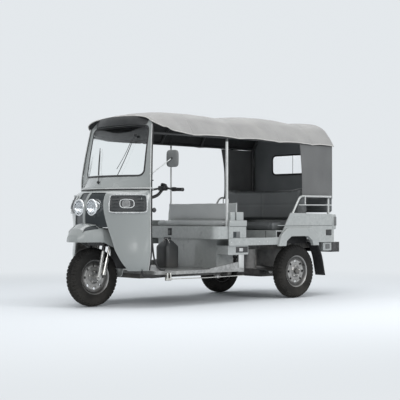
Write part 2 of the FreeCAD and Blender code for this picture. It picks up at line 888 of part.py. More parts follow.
def make_steering():
    """The raked column, the yoke over the wheel, the two fork legs and their spring struts."""
    axle_x = D.wheel_base - D.rear_setback
    axle_z = D.tyre_radius
    column = bar(steer_point(D.steerer_start), steer_point(D.steerer_top), D.steerer_radius)
    yoke_low = D.fork_top_z - D.yoke_height / 2
    yoke_high = D.fork_top_z + D.yoke_height / 2
    yoke_half = D.fork_half + D.fork_tube_radius + D.yoke_side_margin
    column_x = steer_point(D.steerer_start).x
    yoke = block(
        (column_x - float(D.yoke_rear_margin), -yoke_half, yoke_low),
        (D.fork_top_x + D.yoke_front_margin, yoke_half, yoke_high),
    )
    yoke = soften(yoke, D.yoke_round, UPWARD)
    legs = [column, yoke]
    for side in (1, -1):
        y = D.fork_half * side
        legs.append(bar((D.fork_top_x, y, D.fork_top_z), (axle_x, y, axle_z), D.fork_tube_radius))
        lug_y = y - D.lug_wall / 2
        lug = Part.makeCylinder(float(D.lug_radius), float(D.lug_wall), vec(axle_x, lug_y, axle_z), SIDEWAYS)
        legs.append(lug)
    legs.append(bar((axle_x, -yoke_half, axle_z), (axle_x, yoke_half, axle_z), D.spindle_radius))
    keep(shaped("steering_fork", legs[0].fuse(legs[1:]).removeSplitter()), "steering_fork")
    struts = []
    for side in (1, -1):
        y = (D.fork_half + D.fit_gap) * side
        top = vec(D.damper_top_x, y, D.fork_top_z)
        foot = vec(D.damper_foot_x, y, D.damper_foot_z)
        sleeve_end = foot + (top - foot) * float(D.damper_sleeve_share)
        rod = bar(foot, top, D.damper_radius * 0.7)
        sleeve = bar(foot, sleeve_end, D.damper_sleeve_radius)
        leg = bar((D.fork_top_x, y, D.fork_top_z), (axle_x, y, axle_z), D.fork_tube_radius + D.fit_gap)
        eye = Part.makeCylinder(float(D.lug_radius + D.fit_gap), float(D.tyre_width), vec(axle_x, y, axle_z), SIDEWAYS)
        eye.translate(vec(0, -D.tyre_width / 2, 0))
        roof = block(
            (D.damper_top_x - D.overrun, y - D.overrun, yoke_low - D.fit_gap),
            (D.damper_foot_x, y + D.overrun, yoke_high),
        )
        whole = rod.fuse(sleeve).cut([leg, eye, roof])
        struts.append(max(whole.Solids, key=lambda solid: solid.Volume))
    keep(shaped("fork_dampers", Part.makeCompound(struts)), "fork_dampers")
    top = steer_point(D.steerer_top)
    stem = bar(top, (D.bar_head_x, 0, D.bar_height), D.bar_radius * 1.4)
    hub = Part.makeCylinder(
        float(D.bar_hub_radius), float(D.bar_hub_height),
        vec(D.bar_head_x, 0, D.bar_height - D.bar_hub_height / 2), UPWARD,
    )
    handle = bent_tube(
        (
            (D.bar_end_x, -D.bar_end_y, D.bar_height),
            (D.bar_knee_x, -D.bar_knee_y, D.bar_height),
            (D.bar_head_x, -D.bar_hub_radius, D.bar_height),
            (D.bar_head_x, D.bar_hub_radius, D.bar_height),
            (D.bar_knee_x, D.bar_knee_y, D.bar_height),
            (D.bar_end_x, D.bar_end_y, D.bar_height),
        ),
        D.bar_radius,
        D.bar_bend,
    )
    cap = Part.makeCylinder(
        float(D.head_tube_radius), float(D.bar_hub_height), steer_point(D.steerer_top - D.bar_hub_height / 2),
        steer_point(1) - steer_point(0),
    )
    grips = []
    for side in (1, -1):
        end = vec(D.bar_end_x, D.bar_end_y * side, D.bar_height)
        knee = vec(D.bar_knee_x, D.bar_knee_y * side, D.bar_height)
        inward = (knee - end).normalize()
        outer = end - inward * float(D.grip_radius)
        grips.append(bar(outer, end + inward * float(D.grip_length), D.grip_radius))
    handlebar = stem.fuse([hub, handle, cap] + grips)
    handlebar = handlebar.cut(bar(steer_point(0), steer_point(D.steerer_top), D.steerer_radius))
    keep(shaped("handlebar", handlebar.removeSplitter()), "handlebar")


def front_opening(inset):
    """What is open below the nose, for the wheel: wider towards the ground."""
    far = D.fender_tip_x
    return prism(
        [
            (D.mask_low_y - inset, D.well_top_z - inset),
            (D.well_slope_y - inset, D.well_slope_z),
            (D.well_low_y - inset, D.well_low_z),
            (D.well_low_y - inset, D.cab_bottom - D.overrun),
            (-D.well_low_y + inset, D.cab_bottom - D.overrun),
            (-D.well_low_y + inset, D.well_low_z),
            (-D.well_slope_y + inset, D.well_slope_z),
            (-D.mask_low_y + inset, D.well_top_z - inset),
        ],
        "X",
        D.well_rear_x + inset,
        far,
    )


def mask_prism(gap):
    """The outline of the left half of the dark mask, run through the nose."""
    return prism(
        [
            (D.ridge_half - gap, D.well_top_z - gap),
            (D.mask_low_y + gap, D.well_top_z - gap),
            (D.mask_mid_y + gap, D.mask_mid_z),
            (D.mask_tip_y + gap, D.mask_top_z + gap),
            (D.ridge_half - gap, D.mask_top_z + gap),
        ],
        "X",
        D.cab_door_x,
        D.fender_tip_x,
    )


def side_lamp_block(grow, low, high):
    """The rounded block of a side lamp's recess on the left, between two depths."""
    half_long = D.side_lamp_length / 2 + grow
    half_high = D.side_lamp_height / 2 + grow
    shape = block((low, -half_long, -half_high), (high, half_long, half_high))
    shape = soften(shape, D.side_lamp_round + grow, LENGTHWISE)
    shape.Placement = FreeCAD.Placement(
        vec(D.side_lamp_x, D.side_lamp_y, D.side_lamp_z), FreeCAD.Rotation(UPWARD, float(D.side_lamp_turn))
    )
    return shape


def make_nose():
    """The painted lower front, the mask with its lamps, and the louvred lamps at the sides."""
    outer = nose_solid(0)
    inner = nose_solid(float(D.panel_wall))
    skin = outer.cut(inner)
    recess = side_lamp_block(0, -D.side_lamp_depth * 2, D.side_lamp_depth * 2)
    mask = mask_prism(Size("0", 0))
    panels = skin.cut([front_opening(Size("0", 0)), mask, mirrored(mask), recess, mirrored(recess)])
    panels = max(panels.Solids, key=lambda solid: solid.Volume)
    keep(shaped("front_panels", panels), "front_panels")

    sunk = nose_solid(float(D.mask_inset))
    deep = nose_solid(float(D.mask_inset + D.panel_wall))
    bucket = cylinder_shape((D.headlamp_front_x - D.headlamp_depth * 2, D.headlamp_y, D.headlamp_z),
                            D.headlamp_radius + D.fit_gap, D.headlamp_depth * 3)
    mask_skin = sunk.cut(deep).common(mask_prism(-D.fit_gap)).cut(bucket)
    mask_skin = max(mask_skin.Solids, key=lambda solid: solid.Volume)
    keep(shaped("headlamp_mask", both_sides(mask_skin)), "headlamp_mask")

    back = D.headlamp_front_x - D.headlamp_depth
    shell = cylinder_shape((back, D.headlamp_y, D.headlamp_z), D.headlamp_radius, D.headlamp_depth)
    shell = shell.makeFillet(float(D.headlamp_rim), [edge for edge in shell.Edges if edge.BoundBox.XMin > float(back) + 1])
    bowl = cylinder_shape((D.headlamp_front_x - D.headlamp_depth * 0.5, D.headlamp_y, D.headlamp_z),
                          D.headlamp_lens_radius, D.headlamp_depth)
    keep(shaped("headlamp_shells", both_sides(shell.cut(bowl))), "headlamp_shells")
    lens_radius = float(D.headlamp_lens_radius - D.fit_gap)
    bulge = float(D.headlamp_lens_bulge)
    ball = (lens_radius ** 2 + bulge ** 2) / (2 * bulge)
    lens_back = D.headlamp_front_x - D.headlamp_rim
    lens = cylinder_shape((lens_back - D.glass_wall, D.headlamp_y, D.headlamp_z), lens_radius, D.headlamp_depth)
    dome = Part.makeSphere(ball, vec(float(lens_back) + bulge - ball, D.headlamp_y, D.headlamp_z))
    keep(shaped("headlamp_lenses", both_sides(lens.common(dome))), "headlamp_lenses")

    frame = side_lamp_block(-D.fit_gap, -D.side_lamp_depth / 2, D.side_lamp_frame).common(nose_solid(0))
    hollow = side_lamp_block(-D.side_lamp_frame, -D.side_lamp_depth / 2 + D.glass_wall, D.side_lamp_depth)
    tray = frame.cut(hollow)
    slats = []
    pitch = (D.side_lamp_height - D.side_lamp_frame * 2) / (D.louvre_count + 0.5)
    half_long = D.side_lamp_length / 2 - D.side_lamp_frame / 2
    for number in range(int(float(D.louvre_count))):
        low = -D.side_lamp_height / 2 + D.side_lamp_frame + pitch * (number + 0.5)
        slat = block(
            (-D.side_lamp_depth / 2, -half_long, low),
            (-D.side_lamp_frame / 2, half_long, low + D.louvre_height),
        )
        slat.Placement = FreeCAD.Placement(
            vec(D.side_lamp_x, D.side_lamp_y, D.side_lamp_z), FreeCAD.Rotation(UPWARD, float(D.side_lamp_turn))
        )
        slats.append(slat)
    body = tray.fuse([slat.common(frame) for slat in slats])
    lamp = indicator(Size("0", 0))
    body = body.cut(indicator(D.fit_gap))
    body = max(body.Solids, key=lambda solid: solid.Volume)
    keep(shaped("side_lamp_panels", both_sides(body)), "side_lamp_panels")
    keep(shaped("indicator_lamps", both_sides(lamp)), "indicator_lamps")


def cylinder_shape(start, radius, length):
    """A round form along X."""
    return Part.makeCylinder(float(radius), float(length), vec(*start), LENGTHWISE)


def indicator(grow):
    """An oval lamp in the middle of the left side lamp's recess."""
    half_long = D.indicator_length / 2 + grow
    half_high = D.indicator_height / 2 + grow
    oval = Part.Ellipse(vec(0, 0, 0), float(half_long), float(half_high)).toShape()
    face = Part.Face(Part.Wire(oval))
    form = face.extrude(vec(0, 0, D.side_lamp_depth + grow))
    form.rotate(vec(0, 0, 0), vec(1, 1, 1), 120)
    form.translate(vec(-D.side_lamp_depth + D.indicator_ring, 0, 0))
    form.Placement = FreeCAD.Placement(
        vec(D.side_lamp_x, D.side_lamp_y, D.side_lamp_z), FreeCAD.Rotation(UPWARD, float(D.side_lamp_turn))
    ).multiply(form.Placement)
    return form


def screen_prism(inset, deep=0.0):
    """The windscreen's outline, run through the cab's front."""
    low_half = D.screen_half_low - inset
    high_half = D.screen_half_high - inset
    shape = prism(
        [
            (-low_half, D.screen_sill_z + inset),
            (low_half, D.screen_sill_z + inset),
            (high_half, D.screen_top_z - inset),
            (-high_half, D.screen_top_z - inset),
        ],
        "X",
        D.screen_top_door_x - D.panel_wall * 2 + deep,
        D.fender_tip_x,
    )
    return soften(shape, D.screen_round - inset, LENGTHWISE)


def make_screen():
    """The frame of the windscreen with its pillars, the rubber, the glass and the two wipers."""
    outer = screen_solid(0)
    skin = outer.cut(screen_solid(float(D.panel_wall)))
    above = block(
        (D.screen_top_door_x - D.overrun * 3, -D.cab_half * 2, D.cab_waist + D.waist_groove),
        (D.fender_tip_x, D.cab_half * 2, D.cab_roof_z + D.overrun),
    )
    frame = skin.cut(screen_prism(Size("0", 0))).common(above)
    lip_low = D.cab_waist + D.waist_groove
    lip_outer = nose_band(float(-D.waist_lip), lip_low, lip_low + D.waist_lip_height)
    lip_inner = nose_band(float(D.panel_wall), lip_low, lip_low + D.waist_lip_height)
    neck = nose_band(float(D.waist_groove), D.cab_waist, lip_low)
    neck_inner = nose_band(float(D.panel_wall), D.cab_waist, lip_low)
    frame = frame.fuse([lip_outer.cut(lip_inner), neck.cut(neck_inner)])
    frame = max(frame.Solids, key=lambda solid: solid.Volume)
    keep(shaped("screen_frame", frame), "screen_frame")

    ring = screen_solid(float(-D.gasket_proud)).cut(screen_solid(float(D.panel_wall)))
    ring = ring.common(screen_prism(D.fit_gap)).cut(screen_prism(D.gasket_width))
    ring = max(ring.Solids, key=lambda solid: solid.Volume)
    keep(shaped("screen_gasket", ring), "screen_gasket")
    pane = screen_solid(float(D.gasket_proud)).cut(screen_solid(float(D.gasket_proud + D.glass_wall)))
    pane = pane.common(screen_prism(D.gasket_width + D.fit_gap))
    pane = max(pane.Solids, key=lambda solid: solid.Volume)
    keep(shaped("screen_glass", pane), "screen_glass")

    height = float(D.screen_top_z - D.screen_sill_z)
    wipers = []
    for pivot, tip in WIPER_SHARES:
        points = []
        for share in (0, 0.5, 1):
            y = (pivot[0] + (tip[0] - pivot[0]) * share) * float(D.screen_half_low)
            z = float(D.screen_sill_z) + (pivot[1] + (tip[1] - pivot[1]) * share) * height
            points.append(vec(front_x(outer, y, z) + float(D.wiper_lift), y, z))
        arm = bar(points[0], points[1], D.wiper_radius).fuse(bar(points[1], points[2], D.wiper_radius))
        knuckle = Part.makeSphere(float(D.wiper_radius), points[1])
        foot = points[0] - vec(D.wiper_lift + D.wiper_lift, 0, 0)
        foot.z = float(D.screen_sill_z - D.gasket_width)
        root_x = front_x(outer, foot.y, foot.z)
        spindle = bar((root_x, foot.y, foot.z), (root_x + float(D.wiper_lift * 2), foot.y, foot.z), D.wiper_pivot_radius)
        link = bar((root_x + float(D.wiper_lift), foot.y, foot.z), points[0], D.wiper_radius)
        wipers.append(arm.fuse([knuckle, spindle, link]).cut(outer))
    keep(shaped("wipers", Part.makeCompound(wipers)), "wipers")


def nose_band(inset, low, high):
    """A flat band of the cab's plan at the waist, grown or shrunk a little."""
    level = (low, D.cab_half, D.cab_door_x, D.nose_waist_x)
    wire = plan_wire(level, WAIST_SHARES, inset)
    return Part.Face(wire).extrude(vec(0, 0, high - low))


def make_visor():
    """The dark thick brim over the windscreen, wrapped round the corners of the cab's roof."""
    levels = (
        (D.visor_low_z, D.visor_half, D.visor_door_x, D.screen_top_x + D.visor_reach),
        (D.visor_brow_z + D.panel_wall, D.visor_half, D.visor_door_x, D.screen_top_x + D.visor_reach),
        (D.visor_high_z, D.visor_top_half, D.visor_door_x, D.screen_top_x + D.visor_top_reach),
    )
    form = Part.makeLoft([plan_wire(level, SCREEN_SHARES, 0) for level in levels], True, False)
    under = prism(
        [
            (-D.visor_cheek_y, D.visor_low_z - D.overrun),
            (D.visor_cheek_y, D.visor_low_z - D.overrun),
            (D.visor_cheek_y, D.visor_brow_z),
            (-D.visor_cheek_y, D.visor_brow_z),
        ],
        "X", D.visor_door_x - D.overrun, D.fender_tip_x,
    )
    under = soften(under, D.overrun, LENGTHWISE)
    form = form.cut([under, screen_solid(float(-D.fit_gap))])
    hollow = block(
        (D.visor_door_x - D.overrun, -D.cab_roof_half, D.visor_low_z),
        (D.cab_roof_door_x, D.cab_roof_half, D.visor_high_z - D.panel_wall),
    )
    roof = D.hood_wall + D.fit_gap
    front = (D.visor_door_x - D.overrun, D.hood_front_half, D.hood_front_hem, D.hood_front_crown)
    under_hood = Part.Face(arch_wire(front, HOOD_SHARES, float(roof))).extrude(vec(D.fender_tip_x - D.visor_door_x, 0, 0))
    form = form.cut(hollow).common(under_hood)
    form = max(form.Solids, key=lambda solid: solid.Volume)
    keep(shaped("roof_visor", form), "roof_visor")


def arch_wire(station, shares, inset):
    """An arch across, at one place along. The inner one runs on below its outer one's lip."""
    x, half, low, top = station
    wide = float(half) - inset
    tall = float(top) - float(low) - inset
    side = [vec(x, share_y * wide, float(low) + share_z * tall) for share_y, share_z in shares]
    other = [vec(point.x, -point.y, point.z) for point in reversed(side[:-1])]
    arch = Part.BSplineCurve()
    arch.interpolate(side + other)
    if inset == 0:
        return Part.Wire([arch.toShape(), Part.LineSegment(other[-1], side[0]).toShape()])
    right = other[-1] - vec(0, 0, D.overrun)
    left = side[0] - vec(0, 0, D.overrun)
    return Part.Wire([
        arch.toShape(),
        Part.LineSegment(other[-1], right).toShape(),
        Part.LineSegment(right, left).toShape(),
        Part.LineSegment(left, side[0]).toShape(),
    ])


def fender_solid(inset):
    """The whole fender as a solid, from its beak to its tail."""
    stations = (
        (D.fender_tip_x, D.fender_tip_half, D.fender_lip_z, D.fender_tip_z + D.fender_wall),
        (D.fender_bow_x, D.fender_bow_half, D.fender_lip_z, D.fender_bow_z),
        (D.fender_brow_x, D.fender_brow_half, D.fender_lip_z, D.fender_brow_z),
        (D.fender_mid_x, D.fender_mid_half, D.fender_lip_z, D.fender_mid_z),
        (D.fender_back_x, D.fender_back_half, D.fender_lip_z, D.fender_back_z),
        (D.fender_tail_x, D.fender_tail_half, D.fender_tail_lip, D.fender_tail_z),
        (D.fender_end_x, D.fender_tail_half, D.fender_end_lip, D.fender_tail_z),
    )
    return Part.makeLoft([arch_wire(station, FENDER_SHARES, inset) for station in stations], True, True)


def make_fender():
    """The beaked front fender, the wheel well behind it and the splash flap."""
    skin = fender_solid(0).cut(fender_solid(float(D.fender_wall)).translated(vec(-D.fender_wall, 0, 0)))
    hidden = nose_solid(float(-D.fit_gap)).common(block(
        (D.cab_door_x - D.overrun, -D.cab_half, D.well_top_z - D.sheet_wall - D.fit_gap),
        (D.fender_tip_x, D.cab_half, D.cab_waist),
    ))
    fender = skin.cut(hidden)
    fender = max(fender.Solids, key=lambda solid: solid.Volume)
    keep(shaped("front_fender", fender), "front_fender")

    room = nose_solid(float(D.mask_inset + D.panel_wall + D.fit_gap))
    walls = front_opening(-D.sheet_wall + D.fit_gap * 0).common(room)
    walls = walls.cut(front_opening(Size("0", 0)))
    walls = walls.cut(bar(steer_point(0), steer_point(D.steerer_top), D.head_tube_radius + D.fit_gap))
    keep(shaped("wheel_well", max(walls.Solids, key=lambda solid: solid.Volume)), "wheel_well")

    flap_top = D.floor_top - D.floor_wall
    flap = prism(
        [
            (D.well_rear_x - D.sheet_wall, flap_top),
            (D.well_rear_x, flap_top),
            (D.well_rear_x + D.flap_slant, D.flap_low_z),
            (D.well_rear_x + D.flap_slant - D.sheet_wall, D.flap_low_z),
        ],
        "Y", -D.flap_half, D.flap_half,
    )
    keep(shaped("splash_flap", flap), "splash_flap")


def make_floor():
    """The driver's floor, stepped in at the front to meet the cab."""
    floor = padded(
        "floor_plate", "XY_Plane",
        [
            (D.floor_rear_x, -D.floor_half),
            (D.floor_taper_x, -D.floor_half),
            (D.floor_front_x, -D.floor_front_half),
            (D.floor_front_x, D.floor_front_half),
            (D.floor_taper_x, D.floor_half),
            (D.floor_rear_x, D.floor_half),
        ],
        D.floor_top - D.floor_wall, D.floor_top,
    )
    plates = [rounded(floor, D.floor_wall, UPWARD)]
    for side, name in ((1, "left"), (-1, "right")):
        inner = D.floor_half - D.sheet_wall * 3
        near, far = (inner, D.floor_half) if side > 0 else (-D.floor_half, -inner)
        fairing = padded(
            "sill_fairing_" + name, "XZ_Plane",
            [
                (D.fairing_front_x, D.floor_top),
                (D.fairing_front_x, D.floor_top + D.sheet_wall),
                (D.fairing_rear_x, D.fairing_rear_top),
                (D.fairing_rear_x, D.floor_top),
            ],
            near, far,
        )
        plates.append(fairing)
    keep(fuse("driver_floor_all", *plates), "driver_floor")


def make_driver_seat():
    """The bench: a recessed base, an overhanging box, a pod at the driver's left, two cushions."""
    base = padded(
        "seat_base", "XZ_Plane",
        [
            (D.seat_rear_x, D.floor_top),
            (D.seat_front_x, D.floor_top),
            (D.seat_front_x, D.seat_box_z),
            (D.seat_rear_x, D.seat_box_z),
        ],
        -D.seat_base_half, D.seat_base_half,
    )
    wall = D.panel_wall
    base = pocket(
        base, "XZ_Plane",
        [
            (D.seat_rear_x + wall, D.floor_top - D.overrun),
            (D.seat_front_x - wall, D.floor_top - D.overrun),
            (D.seat_front_x - wall, D.seat_box_z - wall),
            (D.seat_rear_x + wall, D.seat_box_z - wall),
        ],
        -D.seat_base_half + wall, D.seat_base_half - wall, "seat_base_hollow",
    )
    upper = padded(
        "seat_box", "XY_Plane",
        [
            (D.seat_rear_x, -D.seat_box_half),
            (D.seat_front_x + D.seat_base_recess, -D.seat_box_half),
            (D.seat_front_x + D.seat_base_recess, D.pod_inner_y),
            (D.pod_front_x, D.pod_inner_y),
            (D.pod_front_x, D.seat_box_half),
            (D.seat_rear_x, D.seat_box_half),
        ],
        D.seat_box_z, D.seat_box_top,
    )

    def pod_corner(edge):
        return edge.BoundBox.XMin > float(D.pod_front_x) - 1 and edge.BoundBox.YMin > float(D.seat_box_half) - 1

    upper = rounded(upper, D.pod_round, UPWARD, pod_corner)
    keep(fuse("driver_seat_all", base, upper), "driver_seat_base")
    cushion = padded(
        "driver_cushion", "XZ_Plane",
        [
            (D.back_face_x + D.fit_gap, (D.seat_box_top + D.fit_gap)),
            (D.cushion_front_x, (D.seat_box_top + D.fit_gap)),
            (D.cushion_front_x, D.cushion_top_z),
            (D.back_face_x + D.fit_gap, D.cushion_top_z),
        ],
        -D.cushion_half, D.cushion_half,
    )
    keep(rounded(cushion, D.cushion_round, SIDEWAYS, lambda edge: edge.BoundBox.XMin > 0), "driver_cushion")
    back = padded(
        "driver_backrest", "XZ_Plane",
        [
            (D.back_rear_x, (D.cushion_top_z + D.fit_gap)),
            (D.back_face_x, (D.cushion_top_z + D.fit_gap)),
            (D.back_face_x, D.back_top_z),
            (D.back_rear_x, D.back_top_z),
        ],
        -D.back_half, D.back_half,
    )
    keep(rounded(back, D.back_round, LENGTHWISE, lambda edge: edge.BoundBox.ZMin > float((D.cushion_top_z + D.fit_gap)) + 1), "driver_backrest")


def make_tank():
    """The moulded black tank in the footwell: shoulders, a filler neck and rounded corners."""
    low_x = D.tank_x - D.tank_length / 2
    high_x = D.tank_x + D.tank_length / 2
    body = padded(
        "tank_body", "XZ_Plane",
        [
            (low_x, D.floor_top),
            (high_x, D.floor_top),
            (high_x, D.tank_top_z - D.tank_shoulder),
            (high_x - D.tank_shoulder, D.tank_top_z),
            (low_x + D.tank_shoulder, D.tank_top_z),
            (low_x, D.tank_top_z - D.tank_shoulder),
        ],
        -D.tank_width / 2, D.tank_width / 2,
    )
    body = rounded(body, D.tank_round, UPWARD)
    neck = cylinder("tank_neck", "Z", (D.tank_x, Size("0", 0), D.tank_top_z), D.filler_radius, D.filler_height)
    keep(fuse("footwell_tank_all", body, neck), "footwell_tank")


def make_dashboard():
    """A shelf under the windscreen with a turned down edge, shaped to the inside of the cab."""
    room = screen_solid(float(D.panel_wall + D.fit_gap))
    shelf = room.common(block(
        (D.dash_rear_x, -D.cab_half, D.dash_z - D.dash_wall), (D.fender_tip_x, D.cab_half, D.dash_z)
    ))
    lower = nose_solid(float(D.panel_wall + D.fit_gap)).fuse(room)
    face = lower.common(block(
        (D.cab_door_x, -D.cab_half, D.dash_low_z), (D.cab_door_x + D.dash_wall, D.cab_half, D.dash_z)
    ))
    panel = shelf.fuse(face)
    keep(shaped("dashboard", max(panel.Solids, key=lambda solid: solid.Volume)), "dashboard")


def arch_points(half, top, shoulder, drop, bottom):
    """A flattened arch over the rear axle, as corners from front to rear."""
    x = -D.rear_setback
    return [
        (x + half, bottom),
        (x + half - shoulder * 0.25, top - drop),
        (x + half - shoulder, top),
        (x - half + shoulder, top),
        (x - half + shoulder * 0.25, top - drop),
        (x - half, bottom),
    ]


def make_tub_side(name, side):
    """One side of the tub: the panel by the post, the low sill and the quarter. Its flare."""
    near, far = D.tub_half - D.panel_wall, D.tub_half
    low, high = (near, far) if side > 0 else (-far, -near)
    outline = [
        (D.tub_rear_x, D.tub_bottom),
        (D.tub_rear_x, D.quarter_tail_z - D.quarter_tail_cut),
        (D.tub_rear_x + D.quarter_tail_cut, D.quarter_tail_z),
        (D.quarter_top_x, D.quarter_top),
        (D.quarter_foot_x, D.sill_top),
        (D.post_panel_rear_x, D.sill_top),
        (D.post_panel_rear_x, D.post_panel_top),
        (D.post_panel_x, D.post_panel_top),
        (D.post_panel_x, D.sill_bottom),
        (D.quarter_foot_x, D.sill_bottom),
        (-D.rear_setback + D.arch_half, D.tub_bottom),
        (-D.rear_setback - D.arch_half, D.tub_bottom),
    ]
    panel = padded("side_panel_" + name, "XZ_Plane", outline, low, high)
    arch = arch_points(D.arch_half, D.arch_top, D.arch_shoulder, D.arch_shoulder_drop, D.tub_bottom - D.overrun)
    panel = pocket(panel, "XZ_Plane", arch, low - D.overrun, high + D.overrun, "arch_" + name)
    keep(panel, "side_panel_" + name)

    start, end = (far, far + D.flare_out) if side > 0 else (-far - D.flare_out, -far)
    flare = padded(
        "arch_flare_" + name, "XZ_Plane",
        arch_points(D.flare_half, D.flare_top, D.flare_shoulder, D.flare_shoulder_drop, D.flare_bottom),
        start, end,
    )

    def outer_rim(edge):
        box_of = edge.BoundBox
        outside = box_of.YMin > float(end) - 1 if side > 0 else box_of.YMax < float(start) + 1
        return outside and box_of.ZMax > float(D.flare_bottom) + 1

    flare = rounded(flare, D.flare_round, None, outer_rim)
    inner = arch_points(D.arch_half, D.arch_top, D.arch_shoulder, D.arch_shoulder_drop, D.flare_bottom - D.overrun)
    flare = pocket(flare, "XZ_Plane", inner, start - D.overrun, end + D.overrun, "flare_arch_" + name)
    return flare


def make_tub():
    """The passengers' floor, the deck under their bench, the shelf and the rear panel."""
    half = D.tub_half - D.panel_wall
    floor = box(
        "passenger_floor_plate",
        (D.floor_passenger_rear_x, -half, D.sill_bottom),
        (D.floor_rear_x, half, D.sill_bottom + D.panel_wall),
    )
    deck = padded(
        "deck_plate", "XZ_Plane",
        [
            (D.deck_front_x, D.sill_bottom + D.panel_wall),
            (D.deck_front_x + D.panel_wall, D.sill_bottom + D.panel_wall),
            (D.deck_front_x + D.panel_wall, D.deck_z),
            (D.deck_rear_x, D.deck_z),
            (D.deck_rear_x, D.shelf_z - D.panel_wall),
            (D.tub_rear_x + D.panel_wall, D.shelf_z - D.panel_wall),
            (D.tub_rear_x + D.panel_wall, D.shelf_z - D.panel_wall * 2),
            (D.deck_rear_x - D.panel_wall, D.shelf_z - D.panel_wall * 2),
            (D.deck_rear_x - D.panel_wall, D.deck_z - D.panel_wall),
            (D.deck_front_x, D.deck_z - D.panel_wall),
        ],
        -half, half,
    )
    keep(fuse("tub_floor_all", floor, deck), "tub_floor")
    rear = padded(
        "rear_plate", "YZ_Plane",
        [
            (-half, D.tub_bottom),
            (half, D.tub_bottom),
            (half, D.shelf_z),
            (-half, D.shelf_z),
        ],
        D.tub_rear_x, D.tub_rear_x + D.panel_wall,
    )
    rear = pocket(
        rear, "YZ_Plane",
        [
            (-D.lid_half, D.lid_low_z),
            (D.lid_half, D.lid_low_z),
            (D.lid_half, D.lid_high_z),
            (-D.lid_half, D.lid_high_z),
        ],
        D.tub_rear_x - D.overrun, D.tub_rear_x + D.overrun, "lid_opening",
    )
    lid_plate = box(
        "lid_plate",
        (D.tub_rear_x, -D.lid_half + D.lid_gap, D.lid_low_z + D.lid_gap),
        (D.tub_rear_x + D.lid_wall, D.lid_half - D.lid_gap, D.lid_high_z - D.lid_gap),
    )
    hinge_x = D.tub_rear_x - D.lid_hinge_out
    hinge_z = D.lid_high_z
    barrel = cylinder(
        "lid_barrel", "Y", (hinge_x, -D.lid_hinge_half, hinge_z), D.lid_hinge_radius, D.lid_hinge_half * 2
    )
    leaf = box(
        "lid_leaf",
        (hinge_x - D.lid_hinge_radius / 2, -D.lid_hinge_half, D.lid_high_z - D.lid_gap * 5),
        (D.tub_rear_x, D.lid_hinge_half, D.lid_high_z),
    )
    handle = box(
        "lid_handle",
        (D.tub_rear_x - D.lid_handle_out, -D.lid_handle_width / 2, D.lid_low_z + D.lid_gap * 5),
        (D.tub_rear_x, D.lid_handle_width / 2, D.lid_low_z + D.lid_gap * 5 + D.lid_handle_height),
    )
    keep(fuse("engine_lid_all", lid_plate, barrel, leaf, handle), "engine_lid")
    ears = [rear]
    for name, side in (("left", 1), ("right", -1)):
        near = D.lid_hinge_half + D.fit_gap
        far = near + D.lid_hinge_radius * 3
        low, high = (near, far) if side > 0 else (-far, -near)
        eye = cylinder("hinge_eye_" + name, "Y", (hinge_x, low, hinge_z), D.lid_hinge_radius, high - low)
        foot = box(
            "hinge_foot_" + name,
            (hinge_x - D.lid_hinge_radius / 2, low, hinge_z),
            (D.tub_rear_x, high, hinge_z + D.lid_hinge_radius * 3),
        )
        ears.append(fuse("hinge_ear_" + name, eye, foot))
    keep(fuse("rear_panel_all", *ears), "rear_panel")


def make_bench():
    """The passengers' cushion and their leaning backrest."""
    cushion = padded(
        "passenger_cushion", "XZ_Plane",
        [
            (D.bench_rear_x, D.deck_z + D.fit_gap),
            (D.bench_front_x, D.deck_z + D.fit_gap),
            (D.bench_front_x, D.bench_top_z),
            (D.bench_rear_x, D.bench_top_z),
        ],
        -D.bench_half, D.bench_half,
    )
    keep(rounded(cushion, D.bench_round, SIDEWAYS, lambda edge: edge.BoundBox.ZMin > float(D.deck_z) + 1), "passenger_cushion")
    rest = padded(
        "passenger_backrest", "XZ_Plane",
        [
            ((D.deck_rear_x + D.fit_gap), (D.bench_top_z + D.fit_gap)),
            (D.rest_front_low_x, (D.bench_top_z + D.fit_gap)),
            (D.rest_front_high_x, D.rest_top_z),
            ((D.deck_rear_x + D.fit_gap), D.rest_top_z),
        ],
        -D.bench_half, D.bench_half,
    )
    keep(rest, "passenger_backrest")


